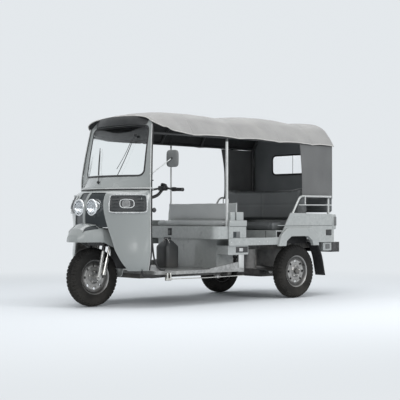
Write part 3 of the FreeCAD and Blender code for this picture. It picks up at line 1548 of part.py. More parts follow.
def make_rear_end():
    """The bumper, the rubber flaps behind the wheels, and the lamps on the rear corners."""
    bumper = padded(
        "bumper_beam", "XY_Plane",
        [
            (D.bumper_rear_x, -D.bumper_half),
            (D.bumper_front_x, -D.bumper_half),
            (D.bumper_front_x, D.bumper_half),
            (D.bumper_rear_x, D.bumper_half),
        ],
        D.bumper_low_z, D.bumper_high_z,
    )
    wall = D.panel_wall
    bumper = pocket(
        bumper, "XY_Plane",
        [
            (D.bumper_rear_x + wall, -D.bumper_half + wall),
            (D.bumper_front_x + D.overrun, -D.bumper_half + wall),
            (D.bumper_front_x + D.overrun, D.bumper_half - wall),
            (D.bumper_rear_x + wall, D.bumper_half - wall),
        ],
        D.bumper_low_z + wall, D.bumper_high_z - wall, "bumper_channel",
    )

    def rear_corner(edge):
        return edge.BoundBox.XMax < float(D.bumper_rear_x) + 1

    bumper = rounded(bumper, D.bumper_round, UPWARD, rear_corner)
    flaps = []
    lamps = []
    for name, side in (("left", 1), ("right", -1)):
        low, high = (D.mudflap_inner_y, D.mudflap_outer_y)
        near, far = (low, high) if side > 0 else (-high, -low)
        flaps.append(box(
            "mudflap_" + name,
            (D.mudflap_x, near, D.mudflap_low_z),
            (D.mudflap_x + D.mudflap_wall, far, D.tub_bottom),
        ))
        low, high = (D.tail_lamp_inner_y, D.tail_lamp_inner_y + D.tail_lamp_width)
        near, far = (low, high) if side > 0 else (-high, -low)
        lamp = padded(
            "tail_lamp_" + name, "YZ_Plane",
            [
                (near, D.tail_lamp_low_z),
                (far, D.tail_lamp_low_z),
                (far, D.tail_lamp_high_z),
                (near, D.tail_lamp_high_z),
            ],
            D.tub_rear_x - D.tail_lamp_out, D.tub_rear_x,
        )
        lamps.append(rounded(lamp, D.tail_lamp_round, LENGTHWISE))
    tongue = cylinder(
        "tow_tongue", "Y", (D.tow_x, -D.tow_wall / 2, D.tow_z), D.tow_radius, D.tow_wall
    )
    web = box(
        "tow_web",
        (D.tow_x - D.tow_radius, -D.tow_wall / 2, D.tow_z),
        (D.tow_x + D.tow_radius, D.tow_wall / 2, D.bumper_low_z),
    )
    bore = cylinder("tow_bore_cut", "Y", (D.tow_x, -D.tow_wall, D.tow_z), D.tow_bore, D.tow_wall * 2)
    keep(cut("rear_bumper_all", fuse("bumper_and_eye", bumper, tongue, web), bore), "rear_bumper")
    set_piece("mudflaps", *flaps)
    set_piece("tail_lamps", *lamps)


def make_chassis():
    """Two rails with cross members, stepped down under the driver, and the steering head."""
    top = D.sill_bottom
    low = top - D.rail_height
    parts = []
    low_top = D.floor_top - D.floor_wall
    for side in (1, -1):
        inner = D.rail_y - D.rail_width / 2
        outer = D.rail_y + D.rail_width / 2
        near, far = (inner, outer) if side > 0 else (-outer, -inner)
        parts.append(block((D.bumper_front_x, near, low), (D.floor_rear_x, far, top)))
        inner = D.low_rail_y - D.rail_width / 2
        near, far = (inner, outer) if side > 0 else (-outer, -inner)
        parts.append(block(
            (D.floor_rear_x - D.cross_width, near, D.low_rail_bottom), (D.floor_rear_x, far, top)
        ))
        outer = D.low_rail_y + D.rail_width / 2
        near, far = (inner, outer) if side > 0 else (-outer, -inner)
        parts.append(block(
            (D.floor_rear_x - D.cross_width, near, D.low_rail_bottom),
            (D.well_rear_x - D.sheet_wall * 2, far, low_top),
        ))
    reach = D.low_rail_y
    for x in (D.floor_rear_x - D.cross_width, D.pedal_x, D.well_rear_x - D.sheet_wall * 2 - D.cross_width):
        parts.append(block((x, -reach, D.low_rail_bottom), (x + D.cross_width, reach, low_top)))
    reach = D.rail_y
    for x in (D.bumper_front_x, D.arm_pivot_x - D.cross_width / 2, D.floor_rear_x - D.cross_width):
        parts.append(block((x, -reach, low), (x + D.cross_width, reach, top)))
    for side in (1, -1):
        inner = D.arm_pivot_y - D.arm_pivot_half
        outer = D.arm_pivot_y + D.arm_pivot_half
        ear = D.panel_wall
        for y in (inner - ear - D.fit_gap, outer + D.fit_gap):
            near, far = (y, y + ear) if side > 0 else (-y - ear, -y)
            parts.append(block(
                (D.arm_pivot_x - D.arm_radius, near, D.arm_pivot_z - D.arm_radius),
                (D.arm_pivot_x + D.arm_radius, far, low),
            ))
        cap = block(
            (D.arm_pivot_x - D.arm_radius, -outer - ear, low - ear),
            (D.arm_pivot_x + D.arm_radius, -inner + ear, low),
        )
        parts.append(cap if side < 0 else mirrored(cap))
        foot = vec(D.strut_foot_x, D.strut_foot_y * side, D.floor_top)
        parts.append(bar(foot, steer_point(D.strut_meet), D.strut_radius))
    head_start = steer_point(D.head_tube_start)
    head_end = steer_point(D.head_tube_start + D.head_tube_length)
    parts.append(bar(head_start, head_end, D.head_tube_radius))
    frame = parts[0].fuse(parts[1:])
    slab = block((D.floor_rear_x, -D.floor_half, low_top), (D.floor_front_x, D.floor_half, D.floor_top))
    frame = frame.cut(slab)
    frame = frame.cut(bar(steer_point(0), steer_point(D.steerer_top), D.steerer_radius + D.bore_gap))
    return frame


def make_running_gear():
    """The frame, the trailing arms with their stub axles, the springs, shafts and engine."""
    frame = make_chassis()
    keep(shaped("chassis_frame", frame.removeSplitter()), "chassis_frame")
    axle_x = -D.rear_setback
    axle_z = D.tyre_radius
    arms = []
    shafts = []
    springs = []
    for side in (1, -1):
        pivot = vec(D.arm_pivot_x, D.arm_pivot_y * side, D.arm_pivot_z)
        barrel = bar(
            (D.arm_pivot_x, (D.arm_pivot_y - D.arm_pivot_half) * side, D.arm_pivot_z),
            (D.arm_pivot_x, (D.arm_pivot_y + D.arm_pivot_half) * side, D.arm_pivot_z),
            D.arm_radius,
        )
        hub = vec(axle_x, D.arm_hub_y * side, axle_z)
        arm = bar(pivot, hub, D.arm_radius)
        carrier = bar((axle_x, D.arm_hub_y * side, axle_z), (axle_x, (D.carrier_y + D.carrier_wall) * side, axle_z), D.carrier_radius)
        spindle = bar(
            (axle_x, D.carrier_y * side, axle_z),
            (axle_x, (D.track_half + D.hub_half + D.hub_cap_length) * side, axle_z),
            D.spindle_radius,
        )
        cap = bar(
            (axle_x, (D.track_half + D.hub_half + D.bore_gap) * side, axle_z),
            (axle_x, (D.track_half + D.hub_half + D.hub_cap_length) * side, axle_z),
            D.hub_cap_radius,
        )
        seat = bar(
            (D.spring_x, D.spring_y * side, D.tyre_radius),
            (D.spring_x, D.spring_y * side, D.spring_foot_z),
            D.spring_radius,
        )
        link = bar((axle_x, D.arm_hub_y * side, axle_z), (D.spring_x, D.spring_y * side, axle_z), D.arm_radius)
        arms.append(barrel.fuse([arm, carrier, spindle, cap, seat, link]).removeSplitter())
        inner_end = (axle_x, D.engine_half * side, axle_z)
        outer_end = (axle_x, (D.arm_hub_y - D.arm_radius) * side, axle_z)
        shaft = bar(inner_end, outer_end, D.shaft_radius)
        cup = bar(inner_end, (axle_x, (D.engine_half + D.joint_length) * side, axle_z), D.joint_radius)
        grown = D.arm_radius + D.fit_gap
        room = [bar(pivot, hub, grown), bar(hub, (D.spring_x, D.spring_y * side, axle_z), grown)]
        shafts.append(max(shaft.cut(room).fuse(cup).Solids, key=lambda solid: solid.Volume))
        profile = []
        foot = float(D.spring_foot_z)
        top = float(D.deck_z - D.panel_wall)
        turns = int(float(D.spring_turns))
        pitch = (top - foot) / turns
        outer_radius = float(D.spring_radius)
        inner_radius = float(D.spring_core_radius)
        profile.append(vec(0, 0, foot))
        for turn in range(turns):
            profile.append(vec(inner_radius, 0, foot + pitch * turn))
            profile.append(vec(outer_radius, 0, foot + pitch * (turn + 0.35)))
            profile.append(vec(outer_radius, 0, foot + pitch * (turn + 0.65)))
        profile.append(vec(inner_radius, 0, top))
        profile.append(vec(0, 0, top))
        face = Part.Face(Part.makePolygon(profile + profile[:1]))
        coil = face.revolve(vec(0, 0, 0), UPWARD, 360)
        coil.translate(vec(D.spring_x, D.spring_y * side, 0))
        springs.append(coil)
    keep(shaped("rear_arms", Part.makeCompound(arms)), "rear_arms")
    keep(shaped("drive_shafts", Part.makeCompound(shafts)), "drive_shafts")
    keep(shaped("rear_springs", Part.makeCompound(springs)), "rear_springs")
    engine = padded(
        "engine_block", "XY_Plane",
        [
            (D.engine_rear_x, -D.engine_half),
            (D.engine_front_x, -D.engine_half),
            (D.engine_front_x, D.engine_half),
            (D.engine_rear_x, D.engine_half),
        ],
        D.engine_low_z, D.engine_high_z,
    )
    keep(rounded(engine, D.engine_round, SIDEWAYS), "engine_block")
    muffler = cylinder(
        "muffler_can", "Y", (D.muffler_x, -D.engine_half - D.fit_gap - D.muffler_length, D.muffler_z),
        D.muffler_radius, D.muffler_length,
    )
    keep(muffler, "muffler")


def make_under_floor():
    """The tool box and the air cleaner by the left sill, the pipe, the brake rod and the pedal."""
    toolbox = padded(
        "tool_box", "XZ_Plane",
        [
            (D.toolbox_rear_x, D.toolbox_low_z),
            (D.toolbox_front_x, D.toolbox_low_z),
            (D.toolbox_front_x, D.sill_bottom),
            (D.toolbox_rear_x, D.sill_bottom),
        ],
        D.seat_base_half + D.fit_gap, D.toolbox_outer_y,
    )
    keep(rounded(toolbox, D.toolbox_round, SIDEWAYS, lambda edge: edge.BoundBox.ZMax < float(D.sill_bottom) - 1), "tool_box")
    cleaner = cylinder(
        "cleaner_can", "Z", (D.cleaner_x, D.cleaner_y, D.cleaner_low_z),
        D.cleaner_radius, D.cleaner_high_z - D.cleaner_low_z,
    )
    strap = box(
        "cleaner_strap",
        (D.cleaner_x - D.strut_radius, D.rail_y + D.rail_width / 2, D.cleaner_high_z - D.strut_radius),
        (D.cleaner_x + D.strut_radius, D.cleaner_y, D.cleaner_high_z),
    )
    keep(fuse("air_cleaner_all", cleaner, strap), "air_cleaner")


def hood_stations():
    """Where the hood rises over its bows and sinks between them."""
    return (
        (D.hood_front_x, D.hood_front_half, D.hood_front_hem, D.hood_front_crown),
        (D.hood_second_x, D.hood_half, D.hood_second_hem, D.hood_second_crown),
        (D.hood_third_x, D.hood_half, D.hood_third_hem, D.hood_third_crown),
        (D.hood_bow_x, D.hood_half, D.hood_bow_hem, D.hood_bow_crown),
        (D.hood_dip_x, D.hood_half, D.hood_dip_hem, D.hood_dip_crown),
        (D.hood_rear_x, D.hood_half, D.hood_rear_hem, D.hood_rear_crown),
    )


def make_hood():
    """The cloth hood over its bows, the side curtains, the back curtain and its window."""
    stations = hood_stations()
    outer = Part.makeLoft([arch_wire(station, HOOD_SHARES, 0) for station in stations], True, True)
    inner = Part.makeLoft([arch_wire(station, HOOD_SHARES, float(D.hood_wall)) for station in stations], True, True)
    hood = outer.cut(inner)
    keep(shaped("hood", max(hood.Solids, key=lambda solid: solid.Volume)), "hood")

    curtains = []
    outside = D.grab_y - D.rail_tube_radius - D.fit_gap
    for name, side in (("left", 1), ("right", -1)):
        low, high = (outside - D.curtain_wall, outside)
        near, far = (low, high) if side > 0 else (-high, -low)
        curtains.append(padded(
            "curtain_" + name, "XZ_Plane",
            [
                (D.curtain_rear_x, D.curtain_low_z),
                (D.curtain_front_low_x, D.curtain_low_z),
                (D.curtain_front_high_x, D.curtain_high_z),
                (D.curtain_rear_x, D.curtain_high_z),
            ],
            near, far,
        ))
    set_piece("side_curtains", *curtains)
    half = outside - D.curtain_wall
    back = padded(
        "back_curtain", "YZ_Plane",
        [
            (-half, D.back_curtain_low),
            (half, D.back_curtain_low),
            (half, D.curtain_high_z),
            (-half, D.curtain_high_z),
        ],
        D.curtain_rear_x, D.curtain_rear_x + D.curtain_wall,
    )
    window = [
        (-D.back_window_half, D.back_window_low),
        (D.back_window_half, D.back_window_low),
        (D.back_window_half, D.back_window_high),
        (-D.back_window_half, D.back_window_high),
    ]
    back = pocket(
        back, "YZ_Plane", window, D.curtain_rear_x - D.overrun, D.curtain_rear_x + D.overrun, "back_window_cut"
    )
    keep(back, "back_curtain")
    gap = D.fit_gap
    film = padded(
        "back_window", "YZ_Plane",
        [
            (-D.back_window_half + gap, D.back_window_low + gap),
            (D.back_window_half - gap, D.back_window_low + gap),
            (D.back_window_half - gap, D.back_window_high - gap),
            (-D.back_window_half + gap, D.back_window_high - gap),
        ],
        D.curtain_rear_x + gap, D.curtain_rear_x + D.curtain_wall - gap,
    )
    keep(film, "back_window")


def bow_tube(station):
    """One bow across, just under the hood."""
    x, half, hem, crown = station
    drop = D.hood_wall + D.bow_gap + D.bow_radius
    z = D.roof_rail_z
    tall = crown - drop - z
    points = [
        (x, D.bow_spring_y, z),
        (x, D.bow_spring_y * 0.90, z + tall * 0.40),
        (x, D.bow_spring_y * 0.74, z + tall * 0.80),
        (x, D.bow_spring_y * 0.42, z + tall * 0.955),
        (x, 0, z + tall),
        (x, -D.bow_spring_y * 0.42, z + tall * 0.955),
        (x, -D.bow_spring_y * 0.74, z + tall * 0.80),
        (x, -D.bow_spring_y * 0.90, z + tall * 0.40),
        (x, -D.bow_spring_y, z),
    ]
    return bent_tube(points, D.bow_radius, D.bar_bend)


def make_roof_frame():
    """Posts, side rails and bows of tube, and the grab rails over the quarters."""
    parts = []
    for side in (1, -1):
        y = D.roof_rail_y * side
        parts.append(bent_tube(
            (
                (D.rear_post_x, y, D.roof_rail_z),
                (D.roof_rail_front_x, y, D.roof_rail_z),
                (D.screen_top_door_x - D.panel_wall, (D.screen_top_half - D.roof_rail_radius * 2) * side,
                 D.visor_low_z - D.roof_rail_radius * 1.5),
            ),
            D.roof_rail_radius, D.bar_bend,
        ))
        parts.append(bar((D.post_x, D.post_y * side, D.seat_box_top), (D.post_x, D.post_y * side, D.roof_rail_z), D.post_radius))
        parts.append(bar(
            (D.rear_post_x, y, D.shelf_z - D.panel_wall), (D.rear_post_x, y, D.roof_rail_z), D.post_radius
        ))
    stations = hood_stations()
    for station in (stations[2], stations[3]):
        parts.append(bow_tube(station))
    rear = (D.rear_post_x, D.hood_half, D.hood_rear_hem, D.hood_dip_crown)
    parts.append(bow_tube(rear))
    frame = parts[0].fuse(parts[1:])
    keep(shaped("roof_frame", frame), "roof_frame")
    rails = []
    for side in (1, -1):
        y = D.grab_y * side
        foot_z = D.quarter_top
        loop = bent_tube(
            (
                (D.rail_foot_x + D.rail_tube_radius / 2, y, foot_z - D.rail_tube_radius),
                (D.rail_bend_x, y, D.rail_top_z),
                (D.rear_post_x, y, D.rail_top_z),
            ),
            D.rail_tube_radius, D.rail_bend,
        )
        under = block(
            (D.rear_post_x, y - D.overrun, D.quarter_tail_z - D.overrun), (D.quarter_foot_x, y + D.overrun, foot_z + D.fit_gap)
        )
        rails.append(loop.cut(under))
    keep(shaped("grab_rails", Part.makeCompound(rails)), "grab_rails")


def make_mirrors():
    """A round stalk from each pillar and a rounded mirror that faces back."""
    mirrors = []
    for side in (1, -1):
        foot = vec(D.cab_door_x, (D.cab_half - D.panel_wall / 2) * side, D.mirror_foot_z)
        knee = vec(D.mirror_x + D.mirror_wall, D.mirror_y * side, D.mirror_foot_z)
        stalk = bar(foot, knee, D.mirror_stalk_radius)
        upright = bar(knee, (D.mirror_x + D.mirror_wall / 2, D.mirror_y * side, D.mirror_z), D.mirror_stalk_radius)
        half_wide = D.mirror_width / 2
        half_high = D.mirror_height / 2
        plate = block(
            (D.mirror_x, D.mirror_y * side - half_wide, D.mirror_z - half_high),
            (D.mirror_x + D.mirror_wall, D.mirror_y * side + half_wide, D.mirror_z + half_high),
        )
        plate = soften(plate, D.mirror_round, LENGTHWISE)
        knot = Part.makeSphere(float(D.mirror_stalk_radius), knee)
        mirrors.append(stalk.fuse([upright, plate, knot]))
    keep(shaped("mirrors", Part.makeCompound(mirrors)), "mirrors")


make_wheels()
make_steering()
make_nose()
make_screen()
make_visor()
make_fender()
make_floor()
make_driver_seat()
make_tank()
make_dashboard()
set_piece("arch_flares", make_tub_side("left", 1), make_tub_side("right", -1))
make_tub()
make_bench()
make_rear_end()
make_running_gear()
make_under_floor()
make_hood()
make_roof_frame()
make_mirrors()
doc.recompute()

for item in doc.Objects:
    if "Invalid" in item.State or "Error" in item.State:
        raise RuntimeError(item.Label + " failed: " + str(item.State))
unsound = [item.Label for item in nodes if item.Shape.isNull() or not item.Shape.isValid() or not item.Shape.Solids]
if unsound:
    raise RuntimeError("not sound: " + ", ".join(unsound))

os.makedirs("parts", exist_ok=True)
for item in nodes:
    item.Shape.exportStep(f"parts/{item.Label}.step")
print(len(nodes), "sub-parts written")
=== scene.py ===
"""The auto rickshaw's looks: finishes for its CAD nodes, and the pieces that stand for them or beside them.

Lengths are metres in the row's frame: x ahead, y to the left, z up.
"""
from math import atan2, copysign, cos, exp, hypot, pi, radians, sin

import bmesh
import bpy
from mathutils import Matrix, Vector, noise
from mathutils.bvhtree import BVHTree


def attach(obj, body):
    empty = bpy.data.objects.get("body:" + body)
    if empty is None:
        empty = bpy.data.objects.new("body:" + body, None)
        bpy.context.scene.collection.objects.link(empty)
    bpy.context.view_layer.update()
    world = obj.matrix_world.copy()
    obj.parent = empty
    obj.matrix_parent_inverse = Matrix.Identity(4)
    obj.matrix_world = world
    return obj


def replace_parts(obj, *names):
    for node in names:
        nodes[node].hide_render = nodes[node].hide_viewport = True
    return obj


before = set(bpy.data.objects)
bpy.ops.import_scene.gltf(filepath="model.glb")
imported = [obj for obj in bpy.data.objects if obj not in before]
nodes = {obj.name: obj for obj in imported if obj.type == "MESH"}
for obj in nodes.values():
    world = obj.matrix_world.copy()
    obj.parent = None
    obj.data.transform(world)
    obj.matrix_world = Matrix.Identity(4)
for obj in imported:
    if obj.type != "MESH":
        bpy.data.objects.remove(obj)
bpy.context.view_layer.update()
scene = bpy.context.scene
SIDES = (("left", 1), ("right", -1))
FRONT_AXLE_X, REAR_AXLE_X, AXLE_Z = 1.325, -0.88, 0.275
REAR_WHEEL_Y = 0.547


# Materials


def add_node(tree, kind, inputs, **settings):
    """A shader node: each input is a value, or a socket that gets linked to it."""
    made = tree.nodes.new("ShaderNode" + kind)
    for name, value in settings.items():
        setattr(made, name, value)
    for slot, value in inputs.items():
        if isinstance(value, bpy.types.NodeSocket):
            tree.links.new(value, made.inputs[slot])
        else:
            made.inputs[slot].default_value = value
    return made


class Finish:
    """A procedural material and its pieces' slot: cloudy colour, cloudy roughness and a stack of bumps."""

    def __init__(self, name, slot, low, high, scale, rough, metallic=0.0, **values):
        self.slot = slot
        self.material = bpy.data.materials.new(name)
        self.material.use_nodes = True
        self.tree = self.material.node_tree
        self.shader = self.tree.nodes["Principled BSDF"]
        self.place = self.new("TexCoord", {}).outputs["Object"]
        self.shader.inputs["Metallic"].default_value = metallic
        for label, value in values.items():
            self.shader.inputs[label.replace("_", " ")].default_value = value
        self.colour = self.ramp(self.cloud(scale, 6), 0.33, low, 0.68, high)
        self.normal = None
        self.link(self.colour, "Base Color")
        self.link(self.spread(self.cloud(scale * 4, 4), 0.3, 0.7, *rough), "Roughness")

    def link(self, socket, name):
        self.tree.links.new(socket, self.shader.inputs[name])

    def new(self, kind, inputs, **settings):
        return add_node(self.tree, kind, inputs, **settings)

    def along(self, axis):
        return self.new("SeparateXYZ", {"Vector": self.place}).outputs[axis]

    def cloud(self, scale, detail, distortion=0.0):
        inputs = {"Scale": scale, "Detail": detail, "Distortion": distortion, "Vector": self.place}
        return self.new("TexNoise", inputs).outputs["Fac"]

    def cells(self, scale, place=None):
        return self.new("TexVoronoi", {"Scale": scale, "Vector": place or self.place}).outputs["Distance"]

    def ramp(self, value, start, low, end, high):
        made = self.new("ValToRGB", {"Fac": value})
        for stop, place, colour in zip(made.color_ramp.elements, (start, end), (low, high)):
            stop.position = place
            stop.color = (*colour, 1)
        return made.outputs["Color"]

    def spread(self, value, start, end, low, high):
        inputs = {"Value": value, "From Min": start, "From Max": end, "To Min": low, "To Max": high}
        return self.new("MapRange", inputs).outputs["Result"]

    def multiply(self, first, second):
        return self.new("Math", {0: first, 1: second}, operation="MULTIPLY").outputs["Value"]

    def tint(self, share, colour):
        """Mixes a second colour in by a share that varies over the surface."""
        made = self.new("Mix", {}, data_type="RGBA")
        self.tree.links.new(share, made.inputs[0])
        self.tree.links.new(self.colour, made.inputs[6])
        made.inputs[7].default_value = (*colour, 1)
        self.colour = made.outputs[2]
        self.link(self.colour, "Base Color")
        return self

    def bump(self, value, depth):
        made = self.new("Bump", {"Height": value, "Distance": depth, "Strength": 1.0})
        if self.normal is not None:
            self.tree.links.new(self.normal, made.inputs["Normal"])
        self.normal = made.outputs["Normal"]
        self.link(self.normal, "Normal")
        return self

    def grain(self, scale, detail, depth, distortion=0.0):
        return self.bump(self.cloud(scale, detail, distortion), depth)

    def pores(self, scale, depth):
        return self.bump(self.cells(scale), depth)

    def ribs(self, scale, axis, depth):
        made = self.new("TexWave", {"Scale": scale, "Vector": self.place}, bands_direction=axis)
        return self.bump(made.outputs["Fac"], depth)

    def weave(self, pitch, depth, upright):
        """Warp and weft, in the plane that the cloth hangs or lies in."""
        scale = 0.314 / pitch
        self.ribs(scale, "Z" if upright else "X", depth)
        return self.ribs(scale, "DIAGONAL" if upright else "Y", depth)

    def edges(self, colour, strength, start=0.53, end=0.62):
        """Light wear where the surface turns sharply."""
        sharp = self.spread(self.new("NewGeometry", {}).outputs["Pointiness"], start, end, 0.0, strength)
        broken = self.spread(self.cloud(35, 4), 0.42, 0.62, 0.0, 1.0)
        return self.tint(self.multiply(sharp, broken), colour)

    def grime(self, colour, low_z, high_z, strength):
        """Road dust that thins out with height."""
        height = self.spread(self.along("Z"), low_z, high_z, strength, 0.0)
        patches = self.spread(self.cloud(9, 8), 0.35, 0.75, 0.25, 1.0)
        return self.tint(self.multiply(height, patches), colour)

    def rings(self, centre, stops):
        """Painted shade in bands round a wheel's axle: each stop is a radius and how much of the colour
        stays.
        """
        reach = 0.2
        moved = self.new("VectorMath", {0: self.place, 1: centre}, operation="SUBTRACT")
        flat = self.new("VectorMath", {0: moved.outputs["Vector"], 1: (1.0, 0.0, 1.0)}, operation="MULTIPLY")
        far = self.new("VectorMath", {0: flat.outputs["Vector"]}, operation="LENGTH")
        made = self.new("ValToRGB", {"Fac": self.spread(far.outputs["Value"], 0.0, reach, 0.0, 1.0)})
        shades = made.color_ramp.elements
        for n, (radius, shade) in enumerate(stops):
            stop = shades[n] if n < 2 else shades.new(radius / reach)
            stop.position = radius / reach
            stop.color = (shade, shade, shade, 1)
        dull = self.new("Math", {0: 1.0, 1: made.outputs["Color"]}, operation="SUBTRACT")
        return self.tint(dull.outputs["Value"], (0.02, 0.02, 0.02))

    def above(self, height, colour, soft, behind=None):
        """A second colour over a height, and behind a place along the car if one is given: painted shade and
        a painted reflection.
        """
        share = self.spread(self.along("Z"), height - soft, height + soft, 0.0, 1.0)
        if behind is not None:
            share = self.multiply(share,
                                  self.spread(self.along("X"), behind - soft, behind + soft, 1.0, 0.0))
        return self.tint(share, colour)


DUST = (0.3, 0.275, 0.235)

paint = Finish("grey_paint", "body_paint", (0.328, 0.345, 0.34), (0.345, 0.362, 0.357), 2.0, (0.27, 0.29),
               Coat_Weight=0.7, Coat_Roughness=0.09, Specular_IOR_Level=0.5)
paint.grain(420, 2, 0.00006).edges((0.5, 0.51, 0.5), 0.3).grime(DUST, 0.32, 0.75, 0.05)
# Painted shade: the body's grey paint made darker for the cab's front panels, screen frame, fender, fender
# brows and splash flap.
darkened_flank_paint = Finish("cab_paint_darkened", "body_paint", (0.262, 0.279, 0.274), (0.28, 0.297, 0.291), 1.5, (0.2, 0.28),
               Coat_Weight=0.85, Coat_Roughness=0.16)
darkened_flank_paint.grain(420, 2, 0.00005).edges((0.52, 0.53, 0.52), 0.3).grime(DUST, 0.3, 0.7, 0.05)
tube_paint = Finish("tube_paint", "frame_tube", (0.46, 0.47, 0.46), (0.56, 0.57, 0.565), 8.0, (0.28, 0.4),
                    0.35)
tube_paint.grain(300, 3, 0.0001).edges((0.7, 0.7, 0.69), 0.5)
frame_paint_and_shade = Finish("roof_frame_paint", "frame_tube", (0.46, 0.47, 0.46), (0.56, 0.57, 0.565), 8.0,
                     (0.3, 0.42), 0.2)
frame_paint_and_shade.grain(90, 4, 0.0002).edges((0.7, 0.7, 0.69), 0.3)
# Painted shade: the frame turns near black above z 1.572, under the hood, and above z 1.075 behind x -0.6,
# in the shade inside the rear of the cab.
frame_paint_and_shade.above(1.572, (0.04, 0.042, 0.043), 0.004).above(1.075, (0.05, 0.052, 0.053), 0.004, behind=-0.6)
dark = Finish("chassis_black", "dark_paint", (0.018, 0.019, 0.02), (0.035, 0.036, 0.037), 6.0, (0.38, 0.55),
              Coat_Weight=0.2, Coat_Roughness=0.3)
dark.grain(160, 4, 0.0003).edges((0.16, 0.15, 0.14), 0.6).grime(DUST, 0.15, 0.8, 0.38)
floor_metal = Finish("floor_metal", None, (0.23, 0.235, 0.235), (0.33, 0.335, 0.33), 5.0, (0.3, 0.5), 0.7)
longer = floor_metal.new("Mapping", {"Vector": floor_metal.place, "Scale": (1.0, 0.55, 1.0)})
plates = floor_metal.cells(34, longer.outputs["Vector"])
floor_metal.bump(floor_metal.spread(plates, 0.24, 0.34, 1.0, 0.0), 0.0022)
floor_metal.edges((0.5, 0.5, 0.5), 0.7).grime(DUST, 0.2, 0.6, 0.3)
steel = Finish("wheel_steel", None, (0.3, 0.3, 0.295), (0.44, 0.44, 0.43), 14.0, (0.26, 0.42), 0.9)
steel.grain(220, 5, 0.0002).edges((0.6, 0.6, 0.58), 0.8).grime((0.16, 0.14, 0.12), 0.0, 0.62, 0.5)
bright = Finish("bright_steel", "steel", (0.56, 0.55, 0.52), (0.72, 0.71, 0.68), 16.0, (0.14, 0.26), 1.0)
bright.grain(260, 3, 0.0001).grime((0.2, 0.17, 0.13), 0.1, 0.6, 0.3)
fork_metal_and_shade = Finish("fork_metal_and_shade", None, (0.44, 0.435, 0.42), (0.58, 0.57, 0.55), 16.0, (0.22, 0.34), 0.8)
# Painted shade: the fork turns near black above z 0.52, where it sits under the fender.
fork_metal_and_shade.grain(260, 3, 0.0001).above(0.52, (0.045, 0.045, 0.046), 0.006)
cast = Finish("cast_metal", None, (0.1, 0.1, 0.1), (0.17, 0.17, 0.168), 18.0, (0.45, 0.62), 0.75)
cast.grain(420, 5, 0.0006).grime((0.08, 0.065, 0.05), 0.2, 0.7, 0.6)
chrome = Finish("chrome", "chrome", (0.74, 0.75, 0.76), (0.82, 0.83, 0.84), 12.0, (0.04, 0.09), 1.0)
chrome.grain(60, 2, 0.00005)
plastic = Finish("black_plastic", "black_plastic", (0.022, 0.023, 0.024), (0.036, 0.037, 0.038), 10.0,
                 (0.38, 0.5), Specular_IOR_Level=0.3)
plastic.pores(620, 0.00025).edges((0.1, 0.1, 0.1), 0.5)
bumper_black = Finish("bumper_black", "black_plastic", (0.018, 0.018, 0.019), (0.032, 0.032, 0.033), 8.0,
                      (0.4, 0.55))
bumper_black.pores(500, 0.0002).edges((0.12, 0.12, 0.12), 0.4)
mask = Finish("slate_plastic", "mask", (0.02, 0.025, 0.027), (0.03, 0.036, 0.039), 4.0, (0.3, 0.42),
              Specular_IOR_Level=0.22, Coat_Weight=0.12, Coat_Roughness=0.2)
mask.grain(500, 2, 0.0001).edges((0.2, 0.21, 0.21), 0.4)
shell_grey = Finish("mirror_shell", "black_plastic", (0.105, 0.11, 0.11), (0.135, 0.14, 0.14), 10.0,
                    (0.36, 0.48))
shell_grey.pores(700, 0.00015).edges((0.4, 0.4, 0.4), 0.4)
tank_plastic = Finish("tank_plastic", "black_plastic", (0.035, 0.038, 0.04), (0.055, 0.058, 0.06), 6.0,
                      (0.35, 0.5))
tank_plastic.grain(90, 4, 0.0006).edges((0.14, 0.14, 0.14), 0.5).grime(DUST, 0.3, 0.6, 0.2)
rubber = Finish("seal_rubber", "rubber", (0.014, 0.014, 0.015), (0.024, 0.024, 0.025), 14.0, (0.5, 0.68))
rubber.grain(380, 4, 0.0003)
tyre = Finish("tyre_rubber", "tyre", (0.0085, 0.0082, 0.008), (0.015, 0.0145, 0.014), 9.0, (0.7, 0.86),
              Specular_IOR_Level=0.2)
tyre.grain(260, 5, 0.0004).edges((0.085, 0.08, 0.072), 0.9, 0.51, 0.58).grime(DUST, 0.0, 0.5, 0.13)
canopy = Finish("canopy_cloth", "hood_cloth", (0.255, 0.252, 0.248), (0.315, 0.311, 0.305), 4.5,
                (0.72, 0.88), Sheen_Weight=0.25, Sheen_Roughness=0.5)
canopy.grain(14, 6, 0.004, 0.8).weave(0.0022, 0.00022, False)
canopy.tint(canopy.spread(canopy.cloud(2.2, 7), 0.5, 0.8, 0.0, 0.45), (0.27, 0.26, 0.245))
# Painted shade: the hood's underside is near black, for the shade under the hood.
underside_shade = Finish("hood_underside_shade", None, (0.02, 0.021, 0.022), (0.032, 0.033, 0.034), 5.0, (0.75, 0.9))
underside_shade.weave(0.0022, 0.0002, False)
curtain = Finish("curtain_cloth", "curtain_cloth", (0.108, 0.11, 0.11), (0.138, 0.14, 0.14), 3.5,
                 (0.7, 0.85), Sheen_Weight=0.15, Sheen_Roughness=0.5)
curtain.grain(9, 5, 0.002, 0.5).weave(0.0018, 0.00018, True)
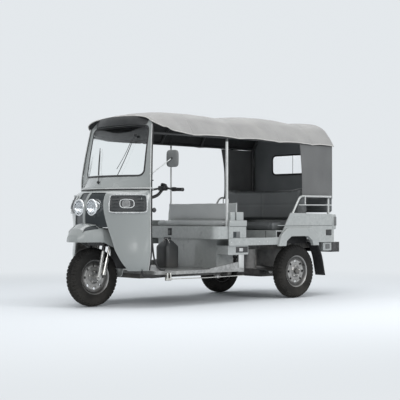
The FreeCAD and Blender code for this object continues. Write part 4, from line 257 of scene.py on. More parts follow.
# Painted light: the side curtains' cloth made lighter for the back curtain, which hangs in the hood's shade.
brightened_back_cloth = Finish("back_curtain_cloth", "curtain_cloth", (0.165, 0.175, 0.182), (0.215, 0.226, 0.233), 3.5,
                    (0.65, 0.8))
brightened_back_cloth.grain(8, 5, 0.0025, 0.6).weave(0.0018, 0.00018, True)
vinyl = Finish("driver_vinyl", "seat_cover", (0.47, 0.485, 0.485), (0.54, 0.555, 0.553), 4.0, (0.42, 0.56),
               Sheen_Weight=0.1, Coat_Weight=0.12, Coat_Roughness=0.35)
vinyl.pores(480, 0.00035).grain(18, 4, 0.0012)
dark_vinyl = Finish("passenger_vinyl", "dark_cover", (0.072, 0.077, 0.078), (0.098, 0.104, 0.105), 4.0,
                    (0.45, 0.58), Coat_Weight=0.15, Coat_Roughness=0.35)
dark_vinyl.pores(460, 0.0004).grain(14, 4, 0.0018)
piping = Finish("hem_piping", "hood_cloth", (0.45, 0.44, 0.42), (0.54, 0.53, 0.51), 20.0, (0.6, 0.75))
piping.ribs(90, "X", 0.0003)
glass = Finish("clear_glass", None, (0.93, 0.96, 0.955), (0.96, 0.98, 0.975), 2.0, (0.0, 0.02),
               Transmission_Weight=1.0, IOR=1.45)
# Painted reflection: the glass turns dark grey above z 1.625, standing in for the dark visor reflected in
# it.
glass.above(1.625, (0.2, 0.215, 0.22), 0.045)
film = Finish("window_film", None, (0.93, 0.94, 0.95), (0.97, 0.975, 0.98), 3.0, (0.03, 0.1),
              Transmission_Weight=1.0, IOR=1.2)
film.grain(16, 4, 0.0012)
lens = Finish("headlamp_lens", None, (0.94, 0.96, 0.97), (0.97, 0.98, 0.99), 4.0, (0.0, 0.03),
              Transmission_Weight=1.0, IOR=1.4)
lens.ribs(26, "Y", 0.0009)
smoke = Finish("indicator_lens", None, (0.5, 0.5, 0.49), (0.62, 0.62, 0.6), 30.0, (0.08, 0.16),
               Transmission_Weight=0.35, Coat_Weight=0.8, Coat_Roughness=0.05)
smoke.ribs(34, "Z", 0.0006)
red = Finish("red_lens", None, (0.3, 0.012, 0.01), (0.42, 0.02, 0.016), 26.0, (0.08, 0.16),
             Transmission_Weight=0.2, Coat_Weight=0.8, Coat_Roughness=0.05)
red.pores(150, 0.0006)
lamp_dark = Finish("lamp_recess", "mask", (0.03, 0.032, 0.033), (0.045, 0.047, 0.048), 12.0, (0.35, 0.5))
lamp_dark.ribs(52, "Z", 0.0012)
lamp_grey = Finish("lamp_grey", "lens", (0.15, 0.153, 0.155), (0.2, 0.203, 0.205), 20.0, (0.2, 0.32))
lamp_grey.ribs(34, "Z", 0.0006)
lamp_trim = Finish("lamp_trim", "chrome", (0.42, 0.43, 0.43), (0.5, 0.51, 0.51), 12.0, (0.22, 0.32), 0.4)
lamp_trim.grain(40, 2, 0.00004)

# Painted shade: rings round each rim's axle; each stop is a radius and how much of the rim's colour stays.
RIM_STOPS = [(0.0, 0.15), (0.03, 0.2), (0.034, 0.55), (0.06, 0.5), (0.066, 0.75), (0.084, 0.85),
             (0.092, 0.45), (0.104, 0.95), (0.112, 0.9), (0.118, 0.2), (0.146, 0.12), (0.154, 0.5),
             (0.16, 1.0), (0.175, 1.0)]
rims = []
for label, x in (("front", FRONT_AXLE_X), ("rear", REAR_AXLE_X)):
    rim = Finish(label + "_rim_steel", None, (0.34, 0.335, 0.33), (0.46, 0.455, 0.445), 14.0, (0.28, 0.42),
                 0.75)
    rim.grain(220, 5, 0.0002).rings((x, 0.0, AXLE_Z), RIM_STOPS)
    rims.append(rim.edges((0.62, 0.61, 0.59), 0.6).grime((0.13, 0.11, 0.09), 0.0, 0.55, 0.35))

FINISHED_NODES = (
    (paint, "arch_flares driver_seat_base engine_lid rear_panel side_panel_left side_panel_right"),
    (paint, "tool_box tub_floor"), (darkened_flank_paint, "front_fender front_panels screen_frame"),
    (dark, "chassis_frame handlebar rear_arms wheel_well"), (steel, "drive_shafts muffler rear_springs"),
    (cast, "air_cleaner engine_block"), (floor_metal, "driver_floor"), (bright, "fork_dampers"),
    (fork_metal_and_shade, "steering_fork"), (chrome, "headlamp_shells"), (rims[0], "front_rim"),
    (rims[1], "rear_left_rim rear_right_rim"), (tyre, "front_tyre rear_left_tyre rear_right_tyre"),
    (frame_paint_and_shade, "roof_frame"), (tube_paint, "grab_rails"), (plastic, "dashboard roof_visor wipers"),
    (mask, "headlamp_mask side_lamp_panels"), (shell_grey, "mirrors splash_flap"),
    (tank_plastic, "footwell_tank"), (bumper_black, "rear_bumper"), (rubber, "mudflaps screen_gasket"),
    (canopy, "hood"), (curtain, "side_curtains"), (brightened_back_cloth, "back_curtain"), (film, "back_window"),
    (vinyl, "driver_backrest driver_cushion"), (dark_vinyl, "passenger_backrest passenger_cushion"),
    (lens, "headlamp_lenses"), (smoke, "indicator_lamps"), (red, "tail_lamps"), (glass, "screen_glass"),
)
CAD_FINISH = {name: finish for finish, names in FINISHED_NODES for name in names.split()}
for name, part in nodes.items():
    held = part.data.materials
    for index in range(len(held)):
        held[index] = CAD_FINISH[name].material
    if not len(held):
        held.append(CAD_FINISH[name].material)


# Making pieces


def mm(*rows):
    """Rows of millimetres, in metres."""
    return [tuple(value / 1000 for value in row) for row in rows]


def add_object(name, data):
    made = bpy.data.objects.new(name, data)
    scene.collection.objects.link(made)
    return made


def turns(count, start=0.0):
    """Equal steps round a circle, in radians."""
    return [2 * pi * (k + start) / count for k in range(count)]


def dress(mesh, name, finish, body, sharp):
    """Puts a mesh in the scene with its finish, on its body."""
    mesh.materials.append(finish.material)
    mesh.shade_smooth()
    if sharp is not None:
        mesh.set_sharp_from_angle(angle=radians(sharp))
    made = add_object(name, mesh)
    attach(made, body)
    return made


def piece(name, points, faces, finish, body="chassis", sharp=None):
    mesh = bpy.data.meshes.new(name)
    mesh.from_pydata([tuple(p) for p in points], [], faces)
    mesh.update()
    return dress(mesh, name, finish, body, sharp)


def quads(rows, columns, closed, ring):
    """Faces between rows of points that are numbered row by row."""
    faces = []
    for i in range(rows - (not closed)):
        for j in range(columns - (not ring)):
            a, b, k = i * columns, (i + 1) % rows * columns, (j + 1) % columns
            faces.append((a + j, a + k, b + k, b + j))
    return faces


def surface(name, rows, finish, body="chassis", ring=True, closed=False, sharp=None, flip=False):
    """A skin through rows of points; ring joins each row's ends, closed the last row to the first."""
    faces = quads(len(rows), len(rows[0]), closed, ring)
    made = piece(name, [p for row in rows for p in row], faces, finish, body, sharp)
    if flip:
        made.data.flip_normals()
    return made


def curve_through(points, steps):
    """Catmull-Rom points through the given ones."""
    points = [Vector(p) for p in points]
    points = [points[0] * 2 - points[1], *points, points[-1] * 2 - points[-2]]
    out = []
    for p0, p1, p2, p3 in zip(points, points[1:], points[2:], points[3:]):
        for k in range(steps):
            t = k / steps
            out.append(0.5 * (2 * p1 + (p2 - p0) * t + (2 * p0 - 5 * p1 + 4 * p2 - p3) * t * t
                              + (3 * p1 - p0 - 3 * p2 + p3) * t ** 3))
    return out + [points[-2]]


def sweep(name, path, radius, finish, body="chassis", sides=10, closed=False, through=0):
    """A tube along points, with closed ends; through is a smooth curve's steps from point to point."""
    path = curve_through(path, through) if through else [Vector(p) for p in path]
    points, total, guide = [], len(path), None
    for i, here in enumerate(path):
        before = path[i - 1] if i or closed else here
        after = path[(i + 1) % total] if i < total - 1 or closed else here
        along = (after - before).normalized()
        if guide is None:
            guide = along.orthogonal().normalized()
        guide = (guide - along * guide.dot(along)).normalized()
        other = along.cross(guide)
        size = radius[i] if isinstance(radius, list) else radius
        for turn in turns(sides):
            points.append(here + (guide * cos(turn) * size + other * sin(turn) * size))
    faces = quads(total, sides, closed, True)
    if not closed:
        faces.append(tuple(reversed(range(sides))))
        faces.append(tuple((total - 1) * sides + k for k in range(sides)))
    return piece(name, points, faces, finish, body, 50)


def lathe(name, profile, centre, axis, finish, body="chassis", segments=20):
    """Turns (radius, distance along the axis) round a line through the centre."""
    centre, axis = Vector(centre), Vector(axis).normalized()
    guide = axis.orthogonal().normalized()
    other = axis.cross(guide)
    rows = [[centre + axis * along + (guide * cos(turn) + other * sin(turn)) * max(radius, 1e-5)
             for turn in turns(segments)] for radius, along in profile]
    return surface(name, rows, finish, body, sharp=35)


STUD = ((1.25, 0.0), (1.25, 0.18), (1.0, 0.22), (1.0, 0.82), (0.8, 1.0))


def studs(name, places, facing, radius, height, finish, body="chassis", sides=6):
    """Bolt heads or rivets that all face one way."""
    points, faces = [], []
    facing = Vector(facing)
    guide = facing.orthogonal().normalized()
    other = facing.cross(guide)
    for spot in places:
        start = len(points)
        for scale, rise in STUD:
            for turn in turns(sides):
                points.append(Vector(spot) + facing * height * rise
                              + (guide * cos(turn) + other * sin(turn)) * radius * scale)
        faces += [tuple(start + k for k in face) for face in quads(len(STUD), sides, False, True)]
        faces.append(tuple(range(len(points) - sides, len(points))))
    return piece(name, points, faces, finish, body, 30)


def block(name, low, high, bevel, inset=(0.0, 0.0, 0.0)):
    """The mesh of a box with rounded edges, drawn in by inset on every side."""
    work = bmesh.new()
    bmesh.ops.create_cube(work, size=1.0)
    for v in work.verts:
        v.co = Vector(((low[i] + high[i]) / 2 + v.co[i] * (high[i] - low[i] - 2 * inset[i])
                       for i in range(3)))
    bmesh.ops.bevel(work, geom=work.edges[:], offset=bevel, segments=3, profile=0.5, affect="EDGES")
    mesh = bpy.data.meshes.new(name)
    work.to_mesh(mesh)
    work.free()
    return mesh


def slab(name, low, high, bevel, finish, body="chassis"):
    """A box with rounded edges, its corners and its bevel in millimetres."""
    low, high = mm(low, high)
    dress(block(name, Vector(low), Vector(high), bevel / 1000), name, finish, body, 40)


def beside(name, side, sign, sizes, finish):
    """A slab on one side of the body: x, z and y from and to as they are on the left, and its bevel."""
    x0, x1, z0, z1, inner, outer, bevel = sizes
    low, high = sorted((sign * inner, sign * outer))
    slab(name + "_" + side, (x0, low, z0), (x1, high, z1), bevel, finish)


def solidify(obj, thickness, offset=-1.0):
    made = obj.modifiers.new("thickness", "SOLIDIFY")
    made.thickness = thickness
    made.offset = offset
    return obj


def push(obj, how):
    """Moves each point along its own normal by how(point, index)."""
    moves = [(v.normal.copy(), how(v.co, v.index)) for v in obj.data.vertices]
    for v, (normal, amount) in zip(obj.data.vertices, moves):
        v.co += normal * amount
    obj.data.update()


def between(xs, values, x):
    """A smooth curve through values at falling xs."""
    if x >= xs[0]:
        return values[0]
    if x <= xs[-1]:
        return values[-1]
    i = next(k for k in range(len(xs) - 1) if xs[k] >= x >= xs[k + 1])
    slope = [0.0] * len(xs)
    for k in range(len(xs)):
        a, b = max(0, k - 1), min(len(xs) - 1, k + 1)
        slope[k] = (values[b] - values[a]) / (xs[b] - xs[a])
    h = xs[i + 1] - xs[i]
    t = (x - xs[i]) / h
    return (values[i] * (1 + 2 * t) * (1 - t) ** 2 + slope[i] * h * t * (1 - t) ** 2
            + values[i + 1] * t * t * (3 - 2 * t) + slope[i + 1] * h * t * t * (t - 1))


def rough_field(point, scale, seed=0.0):
    return noise.noise(Vector(point) * scale + Vector((seed, seed * 1.7, seed * 0.6)))


# Hood

HOOD_X = [1.012, 0.875, 0.575, -0.024, -0.608, -1.13, -1.492]
HOOD_HALF = [0.552, 0.582, 0.602, 0.602, 0.602, 0.602, 0.602]
HOOD_HEM = [1.677, 1.634, 1.618, 1.615, 1.608, 1.602, 1.6]
HOOD_CROWN = [1.806, 1.834, 1.864, 1.847, 1.888, 1.856, 1.88]
HOOD_SHARES = [(1, 0), (0.945, 0.22), (0.875, 0.45), (0.78, 0.7), (0.61, 0.875), (0.34, 0.963), (0, 1)]
HOOD_SEAMS = [1.012, 0.575, -0.024, -0.608, -1.13, -1.492]
HOOD_ROUND = 0.055
HALF_PROFILE = curve_through([(a, b, 0) for a, b in HOOD_SHARES], 7)
FULL_PROFILE = [(p.x, p.y) for p in HALF_PROFILE] + [(-p.x, p.y) for p in reversed(HALF_PROFILE[:-1])]


def seam_share(x):
    for a, b in zip(HOOD_SEAMS, HOOD_SEAMS[1:]):
        if a >= x >= b:
            return (a - x) / (a - b)
    return 0.0


def hood_point(x, y_share, z_share):
    half = between(HOOD_X, HOOD_HALF, x)
    hem = between(HOOD_X, HOOD_HEM, x)
    crown = between(HOOD_X, HOOD_CROWN, x)
    turned_x = x
    over = (HOOD_X[-1] + HOOD_ROUND) - x
    if over > 0:
        turn = min(1.0, over / HOOD_ROUND) * pi / 2
        turned_x = HOOD_X[-1] + HOOD_ROUND - HOOD_ROUND * sin(turn)
        crown -= HOOD_ROUND * (1 - cos(turn)) * 1.25
        half -= 0.012 * (1 - cos(turn))
    fall = 1 - z_share
    front = max(0.0, (x - 0.62) / (HOOD_X[0] - 0.62))
    turned_x -= 0.13 * front * max(0.0, (fall - 0.45) / 0.55) ** 1.7
    return Vector((turned_x, half * y_share, hem + (crown - hem) * z_share))


hood_xs = [HOOD_X[0] + (HOOD_X[-1] - HOOD_X[0]) * i / 210 for i in range(211)]
hood_rows = [[hood_point(x, a, b) for a, b in FULL_PROFILE] for x in hood_xs]
HOOD_COUNT = len(FULL_PROFILE)
hood = surface("hood_cloth", hood_rows, canopy, ring=False, flip=True)
HOOD_END = len(hood.data.vertices)


def hood_lump(point, index):
    x = hood_xs[index // HOOD_COUNT]
    fall = 1 - FULL_PROFILE[index % HOOD_COUNT][1]
    share = seam_share(x)
    pillow = sin(pi * share) ** 0.8
    nearest = min(abs(x - s) for s in HOOD_SEAMS)
    low = min(1.0, fall / 0.8)
    lump = -0.0085 + 0.0085 * pillow
    lump -= 0.0018 * exp(-(nearest / 0.01) ** 2)
    lump += 0.0022 * exp(-((nearest - 0.022) / 0.012) ** 2)
    lump += 0.0032 * rough_field(point, 3.2, 4.0) + 0.0016 * rough_field(point, 9.0, 9.0)
    crease = rough_field((point.x * 16 + point.z * 9, point.y * 3, point.z * 5), 1.0, 2.0)
    lump += 0.0028 * crease * exp(-nearest / 0.09) * (0.4 + 0.6 * low)
    drape = sin(point.x * 34 + 2.2 * rough_field(point, 4.0, 6.0))
    lump += 0.0022 * drape * max(0.0, low - 0.45)
    return max(-0.0095, min(0.0045, lump))


def hood_line(numbers):
    return [hood.data.vertices[n].co.copy() for n in numbers]


push(hood, hood_lump)
for i, x in enumerate(hood_xs):
    scallop = 0.007 * sin(pi * seam_share(x)) + 0.002 * rough_field((x * 7, 0, 0), 1.0, 3.0)
    for j, (_, z_share) in enumerate(FULL_PROFILE):
        if z_share < 0.3:
            hood.data.vertices[i * HOOD_COUNT + j].co.z += scallop * (1 - z_share / 0.3)
hood.data.update()
hood.data.materials.append(underside_shade.material)
solidify(hood, 0.003).modifiers["thickness"].material_offset = 1
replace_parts(hood, "hood")
for side, sign in SIDES:
    hem = hood_line(range(0 if sign > 0 else HOOD_COUNT - 1, HOOD_END, 2 * HOOD_COUNT))
    sweep("hood_hem_" + side, [p + Vector((0, sign * 0.0005, -0.001)) for p in hem], 0.0052, piping, sides=8)
rear_line = hood_line(range(HOOD_END - HOOD_COUNT, HOOD_END))
sweep("hood_hem_rear", [p + Vector((0.001, 0, 0)) for p in rear_line], 0.0048, piping, sides=8)
sweep("hood_hem_front", hood_line(range(HOOD_COUNT)), 0.0048, piping, sides=8)
for n, seam in enumerate(HOOD_SEAMS[1:-1]):
    i = min(range(len(hood_xs)), key=lambda k: abs(hood_xs[k] - seam))
    line = hood_line(range(i * HOOD_COUNT, (i + 1) * HOOD_COUNT))
    rows = [[p + Vector((offset, 0, 0)) + Vector((0, p.y, p.z - 1.55)).normalized() * lift for p in line]
            for offset, lift in ((-0.011, 0.0014), (-0.009, 0.0026), (0.009, 0.0026), (0.011, 0.0014))]
    surface("hood_seam_%d" % n, rows, canopy, ring=False, flip=True)


# Curtains, with soft folds that grow towards the foot

CURTAIN_FOOT, CURTAIN_TOP = (-0.984, 1.042), (-0.948, 1.597)
CURTAIN_Y = 0.583
CLOTH_THICKNESS = 0.0022
COLUMNS, LINES = 46, 44
for side, sign in SIDES:
    front_curve = 0.012 if sign > 0 else 0.03
    rows = []
    for j in range(LINES + 1):
        drop = j / LINES
        z = CURTAIN_TOP[1] + (CURTAIN_FOOT[1] - CURTAIN_TOP[1]) * drop
        front = CURTAIN_FOOT[0] + (CURTAIN_TOP[0] - CURTAIN_FOOT[0]) * (1 - drop)
        front -= front_curve * sin(pi * drop)
        row = []
        for i in range(COLUMNS + 1):
            share = i / COLUMNS
            x = front + (HOOD_X[-1] + 0.022 - front) * share
            fold = 0.0035 * sin(share * 17 + 0.9 * sin(drop * 4)) * (0.25 + 0.75 * drop)
            fold += 0.004 * rough_field((x, sign * CURTAIN_Y, z), 5.0, 3.0 + sign) * (0.3 + drop)
            fold *= min(1.0, (1 - share) * 9)
            row.append(Vector((x, sign * (CURTAIN_Y + fold), z + 0.004 * sin(share * 11) * drop)))
        rows.append(row)
    cloth = surface("side_curtain_" + side, rows, curtain, ring=False, flip=sign > 0)
    solidify(cloth, CLOTH_THICKNESS, 0.0)
    if sign > 0:
        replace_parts(cloth, "side_curtains")
    sweep("curtain_hem_" + side, rows[-1], 0.0034, curtain, sides=8)
    sweep("curtain_edge_" + side, [row[0] for row in rows], 0.0034, curtain, sides=8)

BACK_X = -1.4685
BACK_RINGS = 14
LOOP = 168
HEM_Z = 1.597
ARCH_MIDDLE = 1.42
REAR_ARCH = [hood_point(HOOD_X[-1] + 0.03, a, b) for a, b in FULL_PROFILE]


def rounded_loop(half, low, high, radius):
    """Points round a rectangle with round corners, by equal angle steps."""
    middle, tall = (low + high) / 2, (high - low) / 2
    out = []
    for turn in turns(LOOP):
        c, s = cos(turn), sin(turn)
        stretch = min(half / max(abs(c), 1e-9), tall / max(abs(s), 1e-9))
        y, z = c * stretch, s * stretch
        over_y, over_z = abs(y) - (half - radius), abs(z) - (tall - radius)
        if over_y > 0 and over_z > 0:
            reach = hypot(over_y, over_z)
            if reach > radius:
                y = copysign(half - radius + over_y * radius / reach, y)
                z = copysign(tall - radius + over_z * radius / reach, z)
        out.append((y, middle + z))
    return out


def under_arch(y, z):
    """Pulls a point of the back curtain in until it lies just under the hood's rear arch."""
    if z < HEM_Z:
        return y, z
    angle = atan2(z - ARCH_MIDDLE, y)
    best = None
    for a, b in zip(REAR_ARCH, REAR_ARCH[1:]):
        first, second = atan2(a.z - ARCH_MIDDLE, a.y), atan2(b.z - ARCH_MIDDLE, b.y)
        if min(first, second) - 1e-9 <= angle <= max(first, second) + 1e-9:
            best = a.lerp(b, (angle - first) / ((second - first) or 1.0))
    if best is None:
        return y, min(z, HEM_Z)
    reach = min(hypot(best.y, best.z - ARCH_MIDDLE) - 0.016, hypot(y, z - ARCH_MIDDLE))
    return reach * cos(angle), ARCH_MIDDLE + reach * sin(angle)


window_loop = rounded_loop(0.287, 1.313, 1.529, 0.05)
outer_loop = [under_arch(y, z) for y, z in rounded_loop(0.577, 0.886, 1.84, 0.002)]
rows = []
for r in range(BACK_RINGS + 1):
    t = r / BACK_RINGS
    row = []
    for (y0, z0), (y1, z1) in zip(window_loop, outer_loop):
        y, z = y0 + (y1 - y0) * t, z0 + (z1 - z0) * t
        ripple = 0.004 * sin(y * 19 + 0.8 * sin(z * 5)) * (1.6 - z) / 0.72 * t
        ripple += 0.004 * rough_field((0, y, z), 4.5, 7.0) * min(1.0, t * 3)
        row.append(Vector((BACK_X + max(-0.004, min(0.004, ripple)), y, z)))
    rows.append(row)
back = solidify(surface("back_curtain_cloth", rows, brightened_back_cloth), CLOTH_THICKNESS, 0.0)
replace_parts(back, "back_curtain")
sweep("window_surround", [(BACK_X, y, z) for y, z in window_loop], 0.0095, rubber, closed=True)
sweep("window_divider", [(BACK_X, 0.02, 1.31), (BACK_X, 0.02, 1.532)], 0.003, curtain, sides=8)


# Cushions


def keep_inside(mesh, low, high):
    for v in mesh.vertices:
        for i in range(3):
            v.co[i] = max(low[i], min(high[i], v.co[i]))
    mesh.update()


def crowned(name, replaced, low, high, finish, voxel, channels=(), swell=0.022):
    """A padded block: starts small, swells as cloth under pressure, then gets its sewn channels."""
    low, high = Vector(low), Vector(high)
    inset = Vector((0.006, 0.006, 0.005))
    thin = min(high[i] - low[i] - 2 * inset[i] for i in range(3))
    made = add_object(name, block(name, low, high, thin * 0.3, inset))
    bpy.context.view_layer.objects.active = made
    made.select_set(True)
    remesh = made.modifiers.new("remesh", "REMESH")
    remesh.mode = "VOXEL"
    remesh.voxel_size = min(voxel, thin * 0.4)
    bpy.ops.object.modifier_apply(modifier="remesh")
    rest = [v.co.copy() for v in made.data.vertices]
    cloth = made.modifiers.new("cloth", "CLOTH")
    cloth.settings.effector_weights.gravity = 0.0
    cloth.settings.use_pressure = True
    cloth.settings.uniform_pressure_force = 4.0
    cloth.settings.quality = 4
    cloth.settings.shrink_min = -0.02
    for step in range(1, 15):
        scene.frame_set(step)
    bpy.ops.object.modifier_apply(modifier="cloth")
    scene.frame_set(1)
    for v, start in zip(made.data.vertices, rest):
        move = v.co - start
        if move.length > swell:
            v.co = start + move.normalized() * swell
    keep_inside(made.data, low, high)
    smooth = made.modifiers.new("smooth", "LAPLACIANSMOOTH")
    smooth.lambda_factor = 0.25
    smooth.iterations = 3
    bpy.ops.object.modifier_apply(modifier="smooth")
    made.select_set(False)
    for v in made.data.vertices:
        pull = 0.0
        for axis, at, width, depth in channels:
            pull += depth * exp(-((v.co[axis] - at) / width) ** 2)
        v.co -= v.normal * (pull + 0.0012 * rough_field(v.co, 11.0, 5.0))
    keep_inside(made.data, low, high)
    made.data.materials.clear()
    made.data.materials.append(finish.material)
    made.data.shade_smooth()
    finer = made.modifiers.new("finer", "SUBSURF")
    finer.levels = finer.render_levels = 1
    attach(made, "chassis")
    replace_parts(made, replaced)


crowned("driver_seat_pad", "driver_cushion", (-0.0785, -0.485, 0.7458), (0.103, 0.485, 0.8005), vinyl, 0.009,
        ((1, 0.16, 0.006, 0.002), (1, -0.16, 0.006, 0.002)))
crowned("driver_back_pad", "driver_backrest", (-0.105, -0.504, 0.803), (-0.081, 0.504, 0.984), vinyl, 0.007,
        swell=0.006)
crowned("passenger_seat_pad", "passenger_cushion", (-1.038, -0.558, 0.7008), (-0.549, 0.558, 0.7795),
        dark_vinyl, 0.011, ((1, 0.0, 0.008, 0.006), (0, -0.8, 0.008, 0.004)))
crowned("passenger_back_pad", "passenger_backrest", (-1.128, -0.558, 0.781), (-0.987, 0.558, 1.149),
        dark_vinyl, 0.012, ((1, 0.0, 0.008, 0.006), (2, 0.97, 0.008, 0.004)))


# Tyres: points of half a section as (across, radius), and of the bead's inside

TYRE_HALF = mm((45.5, 161), (50, 165.5), (53.5, 176), (57, 196), (58.8, 218), (57.8, 237), (54, 252),
               (47, 262.5), (38, 269), (24, 272.8), (0, 274.5))
TYRE_INSIDE = mm((-40.5, 160.5), (-30, 170), (0, 186), (30, 170), (40.5, 160.5))
BLOCKS, BLOCK_STEPS = 46, 8


def tread(k, a, r):
    """How deep the pattern is cut at the k-th step round, a across and r from the axle."""
    place = k / BLOCK_STEPS + (0.5 if a < 0 else 0.0)
    if r > 0.254:
        depth = 0.0
        if abs(a) > 0.0285 and (place + abs(a) * 5.0) % 1.0 < 0.27:
            depth = 0.0075
        if 0.0215 < abs(a) < 0.0285:
            depth = 0.0068
        if abs(a) <= 0.0215:
            zig = 0.0035 * (1 if (k // 4) % 2 else -1)
            if abs(abs(a) - 0.0075 - zig * 0.6) < 0.0024:
                depth = 0.006
            if (place % 1.0 + abs(a) * 9.0) % 0.5 < 0.07:
                depth = max(depth, 0.004)
        return depth
    if r > 0.236:
        return 0.0032 if (place + 0.27) % 1.0 < 0.34 else 0.0
    if 0.1965 < r < 0.2005 or 0.226 < r < 0.229:
        return -0.0007
    return 0.0009 * sin(r * 1700) if r < 0.176 else 0.0


def tyre_piece(name, centre, body):
    half = curve_through([(a, r, 0) for a, r in TYRE_HALF], 5)
    section = [(p.x, p.y) for p in half] + [(-p.x, p.y) for p in reversed(half[:-1])]
    rows = []
    for k, turn in enumerate(turns(BLOCKS * BLOCK_STEPS)):
        line = []
        for a, r in section:
            depth = tread(k, a, r)
            side = -1 if a < 0 else 1
            line.append((a - side * depth * (0.8 if r < 0.262 else 0.1), r - depth))
        rows.append([Vector(centre) + Vector((cos(turn) * r, a, sin(turn) * r))
                     for a, r in line + TYRE_INSIDE])
    return surface(name, rows, tyre, body, closed=True, sharp=32)


WHEELS = (("front", (FRONT_AXLE_X, 0, AXLE_Z), (1, -1)),
          ("rear_left", (REAR_AXLE_X, REAR_WHEEL_Y, AXLE_Z), (1,)),
          ("rear_right", (REAR_AXLE_X, -REAR_WHEEL_Y, AXLE_Z), (-1,)))
NUT_CIRCLE = 0.052
VALVE = mm((0, 0), (4.5, 1), (4.5, 16), (5.5, 17), (5.5, 26), (0, 28))
for label, centre, faces_out in WHEELS:
    body = label + "_wheel"
    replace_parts(tyre_piece(label + "_road_tyre", centre, body), label + "_tyre")
    for out in faces_out:
        spots = [(centre[0] + NUT_CIRCLE * cos(turn), centre[1] + out * 0.0305,
                  centre[2] + NUT_CIRCLE * sin(turn)) for turn in turns(5, 0.25)]
        studs("%s_nuts_%s" % (label, "out" if out > 0 else "in"), spots, (0, out, 0), 0.0075, 0.012, bright,
              body)
    valve = (centre[0] - 0.118, centre[1] + faces_out[0] * 0.03, centre[2] + 0.06)
    lathe(label + "_valve", VALVE, valve, (0, faces_out[0], 0), rubber, body, 12)


# Cab trims: the radii of the cab's lower skin round x 1.0, every 5 degrees from straight ahead

CAB_TURN = [35, 40, 45, 50, 55, 60, 65, 70, 75, 80, 85]
CAB_LOW = [0.419, 0.429, 0.442, 0.456, 0.471, 0.486, 0.501, 0.513, 0.521, 0.525, 0.522]
CAB_HIGH = [0.361, 0.371, 0.384, 0.4, 0.418, 0.438, 0.46, 0.481, 0.501, 0.515, 0.522]
CAB_BULGE = [0.021, 0.0215, 0.022, 0.0215, 0.021, 0.02, 0.019, 0.018, 0.016, 0.009, 0.002]


def table(values, turn):
    place = max(0.0, min(len(values) - 1.001, (turn - CAB_TURN[0]) / 5))
    low = int(place)
    return values[low] + (values[low + 1] - values[low]) * (place - low)


def cab_point(turn, z, lift, sign):
    """A point on the cab's lower skin beside the side lamp: turn is in degrees from straight ahead."""
    t = (z - 0.868) / 0.184
    low, high = table(CAB_LOW, turn), table(CAB_HIGH, turn)
    reach = low + (high - low) * t + table(CAB_BULGE, turn) * 4 * t * (1 - t)
    reach += lift + max(0.0, z - 1.012) * 0.22
    angle = radians(turn)
    return Vector((1.0 + reach * cos(angle), sign * reach * sin(angle), z))


def oval(half_u, half_v, power, count, centre, stretch=1.0):
    """Evenly spaced points round a rectangle with rounded corners; stretch turns u into the unit of v."""
    def rounded(value, half):
        return half * copysign(abs(value) ** (2 / power), value)

    fine = [(rounded(cos(turn), half_u), rounded(sin(turn), half_v)) for turn in turns(720)]
    after = fine[1:] + fine[:1]
    steps = [hypot((u1 - u0) * stretch, v1 - v0) for (u0, v0), (u1, v1) in zip(fine, after)]
    out, at, gone = [], 0, 0.0
    for n in range(count):
        goal = sum(steps) * n / count
        while gone + steps[at] < goal:
            gone += steps[at]
            at += 1
        share = (goal - gone) / max(steps[at], 1e-9)
        (u0, v0), (u1, v1) = fine[at], after[at]
        out.append((centre[0] + u0 + (u1 - u0) * share, centre[1] + v0 + (v1 - v0) * share))
    return out


def patch(name, outline, lift, finish, sign, rings=6):
    """A filled plate that follows the cab's skin."""
    u0, v0 = (sum(values) / len(outline) for values in zip(*outline))
    rows = [[cab_point(u0 + (u - u0) * r / rings, v0 + (v - v0) * r / rings, lift, sign) for u, v in outline]
            for r in range(rings + 1)]
    return surface(name, rows, finish, flip=sign > 0)


def band(name, outline, lift, radius, sign, sides=10):
    """A bright bead round an outline on the cab's skin."""
    sweep(name, [cab_point(u, v, lift, sign) for u, v in outline], radius, lamp_trim, closed=True,
          sides=sides)


LAMP = (59.0, 0.9585)
LENS_AT = (LAMP[0] - 0.6, LAMP[1])
METRES_A_DEGREE = 0.0079
for side, sign in SIDES:
    recess = oval(20.4, 0.0825, 9.0, 128, LAMP, METRES_A_DEGREE)
    face = patch("side_lamp_face_" + side, recess, 0.005, lamp_dark, sign, 14)
    band("side_lamp_surround_" + side, recess, 0.0075, 0.0078, sign)
    for n in range(5):
        z = LAMP[1] - 0.058 + n * 0.029
        for u0, u1 in ((42.0, 50.8), (67.2, 76.2)):
            sweep("side_lamp_slat_%s_%d_%d" % (side, n, u0),
                  [cab_point(u0 + (u1 - u0) * k / 10, z, 0.0068, sign) for k in range(11)], 0.0028, mask,
                  sides=6)
    band("side_lamp_ring_" + side, oval(7.2, 0.0385, 3.2, 64, LAMP, METRES_A_DEGREE), 0.0105, 0.005, sign)
    patch("side_lamp_glass_" + side, oval(6.9, 0.036, 3.2, 64, LAMP, METRES_A_DEGREE), 0.0095, lamp_dark,
          sign)
    bulb = patch("side_lamp_lens_" + side, oval(3.6, 0.027, 5.0, 48, LENS_AT, METRES_A_DEGREE), 0.013,
                 lamp_grey, sign)
    band("side_lamp_lens_edge_" + side, oval(3.7, 0.028, 5.0, 48, LENS_AT, METRES_A_DEGREE), 0.0125, 0.0018,
         sign, 6)
    if sign > 0:
        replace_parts(face, "side_lamp_panels")
        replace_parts(bulb, "indicator_lamps")

BUCKET = mm((0, -13), (30, -12), (55, -7), (70, 0), (74.5, 6), (74.5, 12), (0, 12.5))
for side, sign in SIDES:
    lathe("lamp_bucket_" + side, BUCKET, (1.313, sign * 0.1, 0.925), (1, 0, 0), plastic, segments=40)

LIP = mm((1045, 527), (1085, 482), (1145, 398), (1189, 327), (1225, 268), (1254, 213), (1279, 161),
         (1297, 108), (1308, 54), (1311, 0))
lip_line = LIP + [(x, -y) for x, y in reversed(LIP[:-1])]
